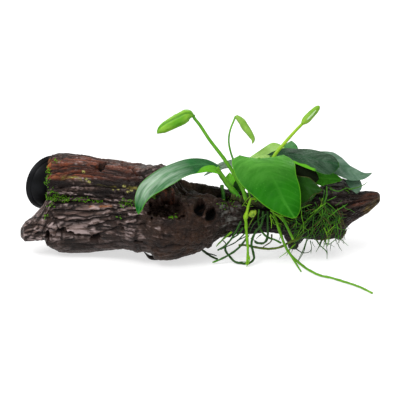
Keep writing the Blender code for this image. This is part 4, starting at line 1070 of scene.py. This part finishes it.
def leaf_blade(name, finish):
    """A blade as rings that run out over the upper face and back under the lower one.

    place = midrib(t) + side * s * width(t) + up * (cup * width * s^2 + waves + veins) - lobes at the base.
    The faces meet at the margin, because the thickness goes with the root of 1 - s^2.
    """
    midrib, _, side_base, side_tip, cup, lobe, _ = LEAVES[name]
    rows, columns = LARGE_BLADE if name in LARGE_LEAVES else SMALL_BLADE
    seed = len(name)
    t = np.linspace(0, 1, rows)
    route = smooth_path(midrib, t)
    length = np.linalg.norm(np.diff(route, axis=0), axis=1).sum()
    along = unit(np.gradient(route, axis=0))
    side = np.outer(1 - t, side_base) + np.outer(t, side_tip)
    side = unit(side - SQUARENESS * along * (side * along).sum(1)[:, None])
    up = unit(np.cross(along, side))
    up *= np.sign(up[:, 2] - 0.5 * up[:, 1])[:, None]
    across = np.sin(np.linspace(-0.5, 0.5, columns) * math.pi)
    s = np.concatenate([across, across[-2:0:-1]])[None, :]
    width = np.where(s >= 0, side_width(name, t, True)[:, None], side_width(name, t, False)[:, None])
    face = np.concatenate([np.ones(columns), -np.ones(columns - 2)])[None, :]
    closing = np.minimum(1, np.minimum(t, 1 - t) * rows / 3)[:, None]
    thick = face * 0.5 * LEAF_THICKNESS * np.sqrt(np.maximum(1 - s * s, 0)) * closing
    lean = VEIN_LEANS.get(name, PLAIN_LEAN) * np.abs(s) ** 1.5 * width
    phase = (t[:, None] * length - lean) / VEIN_SPACING
    inner = fade(np.abs(s), 0.03, 0.12) * (1 - fade(np.abs(s), 0.8, 0.97))
    rib = np.exp(-((s * width / RIB_WIDTH) ** 2))
    veins = inner * (0.5 + 0.5 * np.cos(2 * math.pi * phase)) ** 12
    swell = inner * np.cos(2 * math.pi * phase)
    turns = 2 * math.pi * (2.6 * t[:, None] + 0.21 * seed)
    ripple = MARGIN_WAVE * np.abs(s) ** 3 * np.sin(turns + 2.2 * s)
    flat = np.broadcast_arrays(t[:, None] * length / 11, s * width / 9, t[:, None] * 0)
    uneven = UNEVENNESS * noise(np.stack(flat, -1), 70 + seed)
    furrow = (RIB_ABOVE * (face > 0) + RIB_BELOW * (face < 0)) * rib * closing
    rise = (cup * width * s * s + ripple + thick - furrow - VEIN_SWELL * swell
            + uneven * np.minimum(1, 4 * (1 - np.abs(s)) + 0.4))
    rings = (route[:, None] + side[:, None] * (s * width)[..., None] + up[:, None] * rise[..., None]
             - along[:, None] * (lobe * np.abs(s) ** 2 * (1 - t[:, None]) ** 3)[..., None])
    under = np.broadcast_to(face < 0, veins.shape).astype(float)
    if name in TURNED_MARGINS:
        start, end, first, last = TURNED_MARGINS[name]
        inside = np.interp(t, (max(start, 0), end), (first, last))[:, None]
        past_fold = fade(s + 0.04 * np.sin(40 * t[:, None]) - inside, 0, 0.06)
        under = np.maximum(under, within(t[:, None], start, end, 0.06) * past_fold)
    to_margin = np.minimum((1 - np.abs(s)) * width, (1 - t[:, None]) * length)
    edge = (1 - fade(to_margin, *MARGIN_LINE)) * (0.8 if name not in DARK_MARGINS else 0.2)
    marks = {
        "blade_marks": (np.maximum(veins * 0.3, rib), edge, under),
        "blade_place": (phase, s * width / VEIN_SPACING, t[:, None]),
    }
    faces = ring_faces(*rings.shape[:2]).tolist()
    make_piece("leaf_" + name, rings.reshape(-1, 3), faces, finish, ("leaf_" + name,),
               as_vectors(marks))


def strand_paths(starts, ends, bends, rings, wiggle, draw):
    """Places along each thin strand: start + (end - start) t + bend 4 t (1 - t), with a small wiggle."""
    t = np.linspace(0, 1, rings)[None, :, None]
    count = len(starts)
    sway = draw.normal(0, 1, (count, 1, 3)) * np.sin(t * math.pi * draw.uniform(1.5, 4.5, (count, 1, 1)))
    return (starts[:, None] * (1 - t) + ends[:, None] * t + bends[:, None] * 4 * t * (1 - t)
            + wiggle * sway * (t * (1 - t)) ** 0.5)


def strand_skins(path, radius, sides):
    """Many thin tapering tubes as one shape: rings of places round each path, drawn together at both ends."""
    count, rings = path.shape[:2]
    along = unit(np.gradient(path, axis=1))
    across = unit(np.cross(along, (0.31, 0.87, 0.38)))
    over = np.cross(along, across)
    taper = np.interp(np.linspace(0, 1, rings), (0, 0.04, 0.6, 0.97, 1), (0.0, 1, 0.85, 0.45, 0.0))
    size = (radius[:, None] * taper[None])[..., None, None]
    turn = np.linspace(0, 2 * math.pi, sides, endpoint=False)[:, None]
    made = path[:, :, None] + size * (across[:, :, None] * np.cos(turn) + over[:, :, None] * np.sin(turn))
    base = ring_faces(rings, sides)
    faces = (base[None] + (np.arange(count) * rings * sides)[:, None, None]).reshape(-1, 4)
    return made.reshape(-1, 3), faces.tolist()


def new_material(name, base, roughness, **sockets):
    """A Principled material with values on its own sockets, and its node tree."""
    made = bpy.data.materials.new(name)
    made.use_nodes = True
    shader = made.node_tree.nodes["Principled BSDF"]
    shader.inputs["Base Color"].default_value = (*base, 1)
    shader.inputs["Roughness"].default_value = roughness
    for socket, value in sockets.items():
        shader.inputs[socket.replace("_", " ")].default_value = value
    return made, made.node_tree, shader


def feed(tree, socket, value):
    """Links an output to a socket, or sets the socket's own value. Three numbers do for a colour."""
    if isinstance(value, bpy.types.NodeSocket):
        tree.links.new(value, socket)
    elif socket.type == "RGBA" and len(value) == 3:
        socket.default_value = (*value, 1)
    else:
        socket.default_value = value


def add_node(tree, kind, **inputs):
    """A node with its named inputs fed. Input names use _ for a space."""
    node = tree.nodes.new(kind)
    for name, value in inputs.items():
        feed(tree, node.inputs[name.replace("_", " ")], value)
    return node


def math_node(tree, operation, first, second):
    """A Math node's output."""
    node = tree.nodes.new("ShaderNodeMath")
    node.operation = operation
    feed(tree, node.inputs[0], first)
    feed(tree, node.inputs[1], second)
    return node.outputs[0]


def times(tree, first, second):
    """The product of two values."""
    return math_node(tree, "MULTIPLY", first, second)


def mapped(tree, value, **limits):
    """A value moved from one range to another, by default from 0 and 1 to 0 and 1."""
    return add_node(tree, "ShaderNodeMapRange", Value=value, **limits).outputs[0]


def mixed(tree, factor, first, second):
    """A colour Mix node's output."""
    node = tree.nodes.new("ShaderNodeMix")
    node.data_type = "RGBA"
    for number, value in ((0, factor), (6, first), (7, second)):
        feed(tree, node.inputs[number], value)
    return node.outputs[2]


def clouds(tree, stretch, scale, detail):
    """A noise over the object's own places, stretched and scaled."""
    place = tree.nodes.new("ShaderNodeTexCoord").outputs["Object"]
    drawn = add_node(tree, "ShaderNodeMapping", Vector=place, Scale=stretch)
    noise_node = add_node(tree, "ShaderNodeTexNoise", Vector=drawn.outputs[0], Scale=scale, Detail=detail)
    return noise_node.outputs["Fac"]


def new_group(name, inputs, outputs):
    """A shader node group with named sockets, and its input and output nodes."""
    group = bpy.data.node_groups.new(name, "ShaderNodeTree")
    for label, kind, value in inputs:
        group.interface.new_socket(label, in_out="INPUT", socket_type=kind).default_value = value
    for label, kind in outputs:
        group.interface.new_socket(label, in_out="OUTPUT", socket_type=kind)
    return group, group.nodes.new("NodeGroupInput").outputs, group.nodes.new("NodeGroupOutput").inputs


def mottle_group():
    """Two colours mixed by clouds, with the clouds as a mask. Stretch draws the clouds out along X."""
    group, given, made = new_group("mottle", (
        ("Stretch", "NodeSocketVector", (1, 1, 1)), ("Scale", "NodeSocketFloat", 100.0),
        ("Low", "NodeSocketFloat", 0.35), ("High", "NodeSocketFloat", 0.65),
        ("First", "NodeSocketColor", (0, 0, 0, 1)), ("Second", "NodeSocketColor", (1, 1, 1, 1)),
    ), (("Colour", "NodeSocketColor"), ("Mask", "NodeSocketFloat")))
    cloud = clouds(group, given["Stretch"], given["Scale"], 5.0)
    mask = mapped(group, cloud, From_Min=given["Low"], From_Max=given["High"])
    feed(group, made["Colour"], mixed(group, mask, given["First"], given["Second"]))
    feed(group, made["Mask"], mask)
    return group


def relief_group():
    """A normal from clouds of a given size and height."""
    group, given, made = new_group("fine relief", (
        ("Stretch", "NodeSocketVector", (1, 1, 1)), ("Scale", "NodeSocketFloat", 800.0),
        ("Height", "NodeSocketFloat", 0.0002),
    ), (("Normal", "NodeSocketVector"),))
    cloud = clouds(group, given["Stretch"], given["Scale"], 4.0)
    bump = add_node(group, "ShaderNodeBump", Height=cloud, Distance=given["Height"], Strength=1.0)
    feed(group, made["Normal"], bump.outputs[0])
    return group


MOTTLE = mottle_group()
RELIEF = relief_group()


def placed_group(tree, group, **inputs):
    """The outputs of a group node with its inputs fed."""
    node = tree.nodes.new("ShaderNodeGroup")
    node.node_tree = group
    for name, value in inputs.items():
        feed(tree, node.inputs[name], value)
    return node.outputs


def mottled(tree, **inputs):
    """The outputs of the mottle, Colour and Mask."""
    return placed_group(tree, MOTTLE, **inputs)


def attribute(tree, name):
    """The outputs of the node that reads a mark."""
    read = tree.nodes.new("ShaderNodeAttribute")
    read.attribute_name = name
    return read.outputs


def parts_of(tree, vector):
    """The three numbers of a vector."""
    return add_node(tree, "ShaderNodeSeparateXYZ", Vector=vector).outputs


def dress(tree, shader, colour, **relief):
    """Gives the shader its colour and its fine relief."""
    feed(tree, shader.inputs["Base Color"], colour)
    feed(tree, shader.inputs["Normal"], placed_group(tree, RELIEF, **relief)["Normal"])


def driftwood_finish():
    """Wet dark driftwood: near-black brown, a grey-purple wet sheen painted on the crests as highlight, red
    and olive streaks on the slab, rusty burl, black right branch, reddish tip with a yellow rim, grey wear
    with painted glints beside the shoot, and hollows and grooves painted black as shade."""
    made, tree, shader = new_material("wet driftwood", (0.03, 0.02, 0.015), 0.4, Specular_IOR_Level=0.15)
    marks = ("wood_shade_highlight", "wood_streaks", "wood_place", "wood_bare")
    parts = [parts_of(tree, attribute(tree, mark)["Vector"]) for mark in marks]
    (hollow, groove_shade, crest_highlight), (red, olive, orange), (rust, dark, bare), (rim, wear_and_glints, chips) = parts
    colour = mottled(tree, Stretch=(0.25, 1, 1), Scale=170.0, First=(0.008, 0.005, 0.004),
                     Second=(0.036, 0.020, 0.015))["Colour"]

    def cover(mask, share, tint, stretch, scale, low=0.35, high=0.65):
        """Lays a tint over the colour where the mask and its own clouds let it through."""
        cloud = mottled(tree, Stretch=(stretch, 1, 1), Scale=scale, Low=low, High=high)["Mask"]
        return mixed(tree, times(tree, times(tree, mask, cloud), share), colour, tint)

    # Each row has the mask, its share, the tint, and the stretch, size and limits of its clouds
    for mask, *tint in (
        (rust, 0.8, (0.050, 0.022, 0.011), 1, 150.0, 0.3, 0.62),
        (dark, 0.9, (0.007, 0.005, 0.004), 1, 60.0, 0.1, 0.4),
        (bare, 0.85, (0.105, 0.031, 0.014), 0.25, 200.0, 0.36, 0.66),
        # The two rows for the crests paint a highlight of wet sheen on the ridges
        (crest_highlight, 0.9, (0.135, 0.087, 0.073), 0.15, 200.0, 0.25, 0.5),
        (crest_highlight, 0.9, (0.43, 0.335, 0.325), 0.1, 400.0, 0.46, 0.62),
        (red, 0.95, (0.27, 0.068, 0.028), 0.10, 360.0, 0.36, 0.56),
        (orange, 1.0, (0.42, 0.13, 0.018), 1, 500.0, 0.2, 0.6),
        # Grey wear, and beside the shoot painted glints of wet sheen
        (wear_and_glints, 0.9, (0.15, 0.145, 0.135), 0.6, 420.0, 0.41, 0.61),
        (rim, 0.85, (0.20, 0.14, 0.035), 1, 380.0, 0.36, 0.66),
    ):
        colour = cover(mask, *tint)
    # Painted shade: the grooves and seams turn near black
    colour = mixed(tree, times(tree, groove_shade, 0.85), colour, (0.004, 0.002, 0.002))
    colour = cover(olive, 0.9, (0.19, 0.16, 0.03), 0.5, 500.0, 0.35, 0.55)
    colour = cover(chips, 0.95, (0.33, 0.31, 0.09), 1, 700.0, 0.3, 0.55)
    # Painted shade in the hollows and pits, near black where they are deepest
    colour = mixed(tree, times(tree, hollow, 0.85), colour, (0.026, 0.010, 0.005))
    colour = cover(math_node(tree, "POWER", hollow, 2.2), 1.0, (0.001, 0.001, 0.001), 1, 150.0, 0.2, 0.45)
    dress(tree, shader, colour, Stretch=(0.22, 1, 1), Scale=900.0, Height=0.0016)
    gloss = mottled(tree, Scale=420.0, Low=0.3, High=0.7)["Mask"]
    rough = mapped(tree, gloss, To_Min=0.22, To_Max=0.55)
    feed(tree, shader.inputs["Roughness"], math_node(tree, "MAXIMUM", rough, times(tree, hollow, 0.95)))
    return made


def blade_finish(name, greens, vein, under, sheen, share, span=(-1.0, 0.0, 2.0, 3.0), haze=0.0,
                 height=0.00028, shine=0.05, drawn_out=(0.8, 0.3, 0.0)):
    """A leaf's finish: two greens in clouds, pale streaks of painted sheen between the veins, paler veins and
    margin, a bright underside and fine blisters.

    span gives the shares of the midrib between which the streaks start and between which they end, and haze
    is how much of their colour lies between the streaks too. drawn_out scales the streaks' noise along the
    side veins and across the blade.
    """
    dark, light = greens
    made, tree, shader = new_material(name, dark, 0.38, Specular_IOR_Level=shine)
    rib, edge, below = parts_of(tree, attribute(tree, "blade_marks")["Vector"])
    colour = mottled(tree, Scale=55.0, Low=0.34, High=0.66, First=dark, Second=light)["Colour"]
    # Pale streaks of painted sheen along the side veins, within the span along the midrib, with some as haze
    # between them
    place = attribute(tree, "blade_place")["Vector"]
    drawn = add_node(tree, "ShaderNodeMapping", Vector=place, Scale=drawn_out)
    streak = add_node(tree, "ShaderNodeTexNoise", Vector=drawn.outputs[0],
                      Scale=1.0, Detail=5.0, Roughness=0.65)
    spread = mapped(tree, streak.outputs["Fac"], From_Min=0.40, From_Max=0.68, To_Min=haze)
    share_along = parts_of(tree, place)[2]
    started = mapped(tree, share_along, From_Min=span[0], From_Max=span[1])
    ended = mapped(tree, share_along, From_Min=span[2], From_Max=span[3], To_Min=1.0, To_Max=0.0)
    streaks = times(tree, spread, times(tree, started, ended))
    dots = mottled(tree, Scale=620.0, Low=0.66, High=0.72)["Mask"]
    # The streaks lay the painted sheen first, then the dots, the veins, the margin and the underside
    for mask, amount, tint in ((streaks, share, sheen), (dots, 0.5, vein), (rib, 0.42, vein),
                               (edge, 0.6, under), (below, 0.9, under)):
        colour = mixed(tree, times(tree, mask, amount), colour, tint)
    dress(tree, shader, colour, Scale=520.0, Height=height)
    return made


def clouded_finish(name, first, second, roughness, scale, height, shine=0.18):
    """Two colours in clouds with a fine relief."""
    made, tree, shader = new_material(name, first, roughness, Specular_IOR_Level=shine)
    colour = mottled(tree, Scale=scale, First=first, Second=second)["Colour"]
    dress(tree, shader, colour, Scale=scale * 6, Height=height)
    return made


def root_finish():
    """Roots: each strand's own shade, from dark green through bright green to brown and yellow."""
    made, tree, shader = new_material("root skin", (0.1, 0.3, 0.03), 0.42, Specular_IOR_Level=0.15)
    ramp = tree.nodes.new("ShaderNodeValToRGB")
    for k, (at, colour) in enumerate(ROOT_COLOURS):
        stop = ramp.color_ramp.elements[k] if k < 2 else ramp.color_ramp.elements.new(at)
        stop.position = at
        stop.color = (*colour, 1)
    feed(tree, ramp.inputs[0], attribute(tree, "root_shade")["Fac"])
    cloud = mottled(tree, Scale=240.0, Low=0.3, High=0.75)["Mask"]
    colour = mixed(tree, times(tree, cloud, 0.4), ramp.outputs[0], (0.03, 0.06, 0.008))
    dress(tree, shader, colour, Scale=1500.0, Height=0.0002)
    return made


def spathe_finish(name, first, second, edge):
    """A spathe's skin: two yellow-greens in clouds, and the crease's colour along its crease: darker there as
    painted shade on two spathes, paler on the open one.
    """
    made, tree, shader = new_material(name, first, 0.4, Specular_IOR_Level=0.2)
    cloud = mottled(tree, Scale=110.0, First=first, Second=second)["Colour"]
    crease = times(tree, attribute(tree, "spathe_crease")["Fac"], 0.85)
    dress(tree, shader, mixed(tree, crease, cloud, edge), Scale=700.0, Height=0.00015)
    return made


def make_tube(name, form, finish, slot, nodes=(), **drawing):
    """One closed tube as a piece. form is its places and radii, and drawing says how its rings are drawn."""
    points, faces = closed_rings(tube_rings(*form, **drawing))
    make_piece(name, points, faces, finish, nodes)


def make_cup(finish):
    """The rubber cup as a turned profile: radius and height from the mouth, round the mouth's axis."""
    rim = CUP_RADIUS
    profile = np.array((
        (0, -CUP_DEPTH), (5.6, -CUP_DEPTH), (6, -13.4), (6.6, -12.2), (9.5, -11.3), (13, -9.6), (16.4, -7.2),
        (18.9, -4.6), (19.9, -3.2), (20.2, -3.3), (rim - 0.8, -1.8), (rim, -0.6), (rim, 0), (rim - 3, 0),
        (13, -2.2), (6, -3.0), (0, -3.2),
    ), float)
    path = smooth_path(np.column_stack([profile, profile[:, 0] * 0]), np.linspace(0, 1, 65))
    path[:, 0] = np.maximum(path[:, 0], 0)
    mouth = np.array(CUP_MOUTH)
    across = unit(np.cross(mouth, (0, 0, 1)))
    over = np.cross(mouth, across)
    turn = np.linspace(0, 2 * math.pi, 96, endpoint=False)[None, :, None]
    rings = (np.array(CUP_CENTRE) + path[:, None, :1] * (across * np.cos(turn) + over * np.sin(turn))
             + path[:, None, 1:2] * mouth)
    points, faces = closed_rings(rings)
    make_piece("suction_cup_rubber", points, faces, finish, ("suction_cup",))


def make_flowers(plain):
    """Spathes with the seam of their overlap, their stalks, and the spadix that shows in the open one.

    A spathe is a tube round its axis with its own radii. seam is a narrow furrow at one angle, and ribs are
    a slow wave round the tube.
    """
    rings, sides = 64, 44
    turn = np.linspace(0, 2 * math.pi, sides, endpoint=False)
    down = np.linspace(0, 1, rings)[:, None]
    ribs = 1 + 0.015 * np.cos(9 * turn)
    for name, (axis, radii) in SPATHES.items():
        skin, *colours, stalk = SPATHE_FINISHES[name]
        evened = np.interp(np.linspace(0, 1, 48), np.linspace(0, 1, len(radii)), radii)
        made = tube_rings(axis, evened, rings, sides, rough=0.04, seed=40)
        middle = made.mean(1, keepdims=True)
        away = np.angle(np.exp(1j * (turn - SEAM_ANGLE[name] - 0.5 * down)))
        seam = 1 - 0.22 * np.exp(-((away / 0.13) ** 2)) + 0.07 * np.exp(-(((away - 0.32) / 0.16) ** 2))
        points, faces = closed_rings(middle + (made - middle) * (seam * ribs)[..., None])
        crease = np.concatenate([np.exp(-((away / 0.17) ** 2)).ravel(), np.zeros(2)])
        make_piece("spathe_" + name, points, faces, spathe_finish(skin, *colours),
                   ("spathe_" + name,), {"spathe_crease": crease})
        form = (*PEDUNCLES[name], axis[0]), STALK_RADII[name]
        make_tube("peduncle_" + name, form, plain[stalk], "stalk_green", ("peduncle_" + name,),
                  rings=60, sides=14, rough=0.05, seed=41)
    make_tube("spadix_right", SPADIX, plain["spadix grain"], "spadix_pale", ("spadix_right",),
              rings=40, sides=16, rough=0.35, seed=42)


def make_stalks(plain):
    """The petioles, the rhizome with its rings of old leaf scars, its shoot, the cut stub and the bud."""
    bright, dark = plain["bright stalk"], plain["dark stalk"]
    for name, route in PETIOLES.items():
        thick = STEM_RADIUS if name in LARGE_LEAVES else SMALL_PETIOLE * STEM_RADIUS
        taper = LEFT_PETIOLE_TAPER if name == "left" else PETIOLE_TAPER
        form = (*route, LEAVES[name][0][0]), thick * np.array(taper)
        make_tube("petiole_" + name, form, bright if name in BRIGHT_PETIOLES else dark, "stalk_green",
                  ("petiole_" + name,), rings=44, sides=14, rough=0.08, seed=50)
    make_tube("rhizome_stem", (RHIZOME, RHIZOME_RADII), plain["rhizome bark"], "stalk_green", ("rhizome",),
              rings=150, sides=28, rough=0.3, seed=51)
    make_tube("rhizome_shoot", SHOOT, plain["yellow-green stalk"], "stalk_green",
              rings=50, sides=16, rough=0.2, seed=52)
    make_tube("cut_petiole_stub", CUT_STUB, dark, "stalk_green", ("cut_petiole_stub",),
              rings=30, sides=14, rough=0.15, seed=53)
    make_tube("young_leaf_curl", YOUNG_LEAF, plain["bud skin"], "stalk_green", ("young_leaf",),
              rings=36, sides=20, rough=0.1, seed=54)


def make_main_roots(finish):
    """The roots that can be followed one by one. Free tips are paler."""
    for name, (route, start_radius, end_radius) in ROOTS.items():
        long_root = name == "root_long_floor"
        thin = LONG_ROOT_SHARE if long_root else ROOT_SHARE
        shapes = [closed_rings(tube_rings(route, (start_radius * thin, end_radius * thin), 90, 12, 0.2, 60))]
        if long_root:
            shapes.append(closed_rings(tube_rings(SIDE_ROOT, (1.0, 0.6), 30, 10, 0.12, 61)))
        points, faces = joined(shapes)
        from_tip = np.linalg.norm(points - np.array(route[-1], float), axis=1)
        near_tip = np.exp(-from_tip / 6) * (name in FREE_TIPS)
        shade = ROOT_SHADES[name] + (TIP_SHADE - ROOT_SHADES[name]) * near_tip * 0.8
        make_piece(name + "_skin", points, faces, finish, (name,), {"root_shade": shade})


def make_small_roots(finish):
    """The thin roots that can be told apart, each a tube along its own places as the viewer sees them."""
    shapes, shades = [], []
    for route, first_y, last_y, radius, shade in SMALL_ROOTS:
        flat = np.array(route, float)
        places = in_space(flat[:, 0], flat[:, 1], np.linspace(first_y, last_y, len(flat)))
        places[:, 2] = np.maximum(places[:, 2], LOWEST_ROOT)
        radii = radius, 0.75 * radius, 0.4 * radius
        shapes.append(closed_rings(tube_rings(places, radii, 8 * len(route), 6, 0.25, 62)))
        shades.append(np.full(len(shapes[-1][0]), shade))
    points, faces = joined(shapes)
    make_piece("small_roots", points, faces, finish,
               marks={"root_shade": np.concatenate(shades)})


def make_root_tangle(finish):
    """The fine branching roots over the front of the thin branch.

    Each main strand leaves its start at an angle in the seen plane and bends as it goes. Side strands leave
    it at one of its rings, turned to one side.
    """
    draw = np.random.default_rng(17)
    rings, sides = 9, 4
    count, branches = TANGLE_STRANDS, TANGLE_BRANCHES
    x = np.clip(draw.normal(97, 13, count), *STRAND_STARTS)
    height = draw.uniform(*STRAND_HEIGHTS, count) - 0.10 * (x - 70)
    angle = draw.choice(STRAND_WAYS, count, p=WAY_SHARES) + draw.normal(0, 0.2, count)
    reach = draw.uniform(*STRAND_LENGTHS, count)
    first_y = draw.uniform(-9.5, -5, count)
    last_y = first_y - draw.uniform(0.5, 5, count)
    end_x = np.clip(x + reach * np.cos(angle), *STRAND_ENDS)
    end_height = np.maximum(height + reach * np.sin(angle), np.where(draw.random(count) < 0.22, -47, -36))
    starts, ends = in_space(x, height, first_y), in_space(end_x, end_height, last_y)
    bends = np.stack([draw.normal(0, 1.6, count), draw.uniform(-2.5, 0.5, count),
                      draw.normal(0, 1.2, count)], -1)
    main = strand_paths(starts, ends, bends, rings, 0.35, draw)
    parent = draw.integers(0, count, branches)
    ring = draw.integers(3, 8, branches)
    root = main[parent, ring]
    turned = angle[parent] + draw.choice((-1, 1), branches) * draw.uniform(0.35, 0.9, branches)
    far = draw.uniform(*BRANCH_LENGTHS, branches)
    way = np.stack([far * np.cos(turned), draw.uniform(-1.5, 0.5, branches), far * np.sin(turned)], -1)
    side = strand_paths(root, root + way, way[:, ::-1] * 0.06, rings, 0.3, draw)
    path = np.concatenate([main, side])
    path[..., 2] = np.maximum(path[..., 2], LOWEST_STRAND)
    radius = np.concatenate([draw.uniform(*STRAND_RADII, count), draw.uniform(*BRANCH_RADII, branches)])
    points, faces = strand_skins(path, radius, sides)
    shade = draw.choice(STRAND_SHADES, len(path), p=SHADE_SHARES)
    make_piece("root_tangle", points, faces, finish, ("root_mat",),
               {"root_shade": np.repeat(shade, rings * sides)})


def make_moss(surfaces, finish):
    """Moss filaments seated on the points of the wood inside each patch, where a noise lets them grow.

    Each filament runs a little along the wood and stands out from it.
    """
    skin = np.vstack([rings.reshape(-1, 3) for rings in surfaces])
    outward = np.vstack([unit(rings - rings.mean(1, keepdims=True)).reshape(-1, 3) for rings in surfaces])
    seen = seen_height(skin)
    facing = outward @ np.array((0.0, -UP_SEEN, BACK_SEEN))
    draw = np.random.default_rng(9)
    for name, patches in MOSS_PATCHES.items():
        roots, ways = [], []
        for x, height, half_x, half_height, count in patches:
            away = ((skin[:, 0] - x) / half_x) ** 2 + ((seen - height) / half_height) ** 2
            inside = np.flatnonzero((away + 0.9 * noise(skin / 1.6, 80) < 1) & (facing > 0.15))
            pick = draw.choice(inside, count)
            roots.append(skin[pick] - MOSS_SEAT * outward[pick])
            stand = outward[pick] * draw.uniform(*MOSS_HEIGHTS, (count, 1))
            ways.append(stand + draw.normal(0, 1.1, (count, 3)))
        starts, ways = np.vstack(roots), np.vstack(ways)
        path = strand_paths(starts, starts + ways, draw.normal(0, 0.35, ways.shape), 6, 0.5, draw)
        path[..., 2] = np.maximum(path[..., 2], LOWEST_MOSS)
        points, faces = strand_skins(path, draw.uniform(*MOSS_RADII, len(path)), 3)
        make_piece(name, points, faces, finish, (name,))


def turn_to(obj, place, aim):
    """Adds obj to the scene at a place in metres, with its -Z turned to the aim."""
    bpy.context.scene.collection.objects.link(obj)
    way = Vector(aim) - Vector(place)
    obj.location = place
    obj.rotation_euler = way.to_track_quat("-Z", "Y").to_euler()


def area_light(name, place, size, power):
    """A square soft light, turned to the middle of the plant."""
    data = bpy.data.lights.new(name, "AREA")
    data.size = size
    data.energy = power
    turn_to(bpy.data.objects.new(name, data), place, LIGHT_AIM)


def make_studio():
    """A pale floor with a faint light of its own, a soft white surround, three soft lights and the camera."""
    floor_mesh = bpy.data.meshes.new("floor")
    half = 3
    corners = [(-half, -half, 0), (half, -half, 0), (half, half, 0), (-half, half, 0)]
    floor_mesh.from_pydata(corners, [], [(0, 1, 2, 3)])
    pale, _, _ = new_material("pale floor", (0.45, 0.45, 0.45), 0.8, Emission_Color=(1, 1, 1, 1),
                              Emission_Strength=SURROUND)
    floor_mesh.materials.append(pale)
    floor = bpy.data.objects.new("floor", floor_mesh)
    bpy.context.scene.collection.objects.link(floor)
    world = bpy.data.worlds.new("studio")
    world.use_nodes = True
    background = world.node_tree.nodes["Background"]
    background.inputs["Color"].default_value = (1, 1, 1, 1)
    background.inputs["Strength"].default_value = SURROUND
    bpy.context.scene.world = world
    bpy.context.scene.view_settings.view_transform = "Standard"
    overhead = bpy.data.lights.new("overhead", "SUN")
    overhead.energy = 1.7
    overhead.angle = math.radians(60)
    turn_to(bpy.data.objects.new("overhead", overhead), (-0.35, -0.25, 1.0), (0, 0, 0))
    area_light("key", (-0.5, -0.5, 0.9), size=0.3, power=5)
    area_light("back", (0.2, 0.9, 0.8), size=0.5, power=3)
    data = bpy.data.cameras.new("camera")
    data.lens = LENS
    camera = bpy.data.objects.new("camera", data)
    target = placed((0, 0, AIM_HEIGHT))
    tilt = math.radians(VIEW_TILT)
    place = target + VIEW_DISTANCE * np.array((0, -math.cos(tilt), math.sin(tilt)))
    turn_to(camera, tuple(place), tuple(target))
    bpy.context.scene.camera = camera


plain = {name: clouded_finish(name, *settings) for name, settings in CLOUDED_FINISHES.items()}
root_skin = root_finish()
surfaces = make_log(driftwood_finish())
make_cup(plain["black rubber"])
make_stalks(plain)
blades = {name: blade_finish(name, *colours, **more) for name, (colours, more) in BLADE_FINISHES.items()}
for name, finish in LEAF_FINISHES.items():
    leaf_blade(name, blades[finish])
make_flowers(plain)
make_main_roots(root_skin)
make_small_roots(root_skin)
make_root_tangle(root_skin)
make_moss(surfaces, plain["moss filaments"])
make_studio()
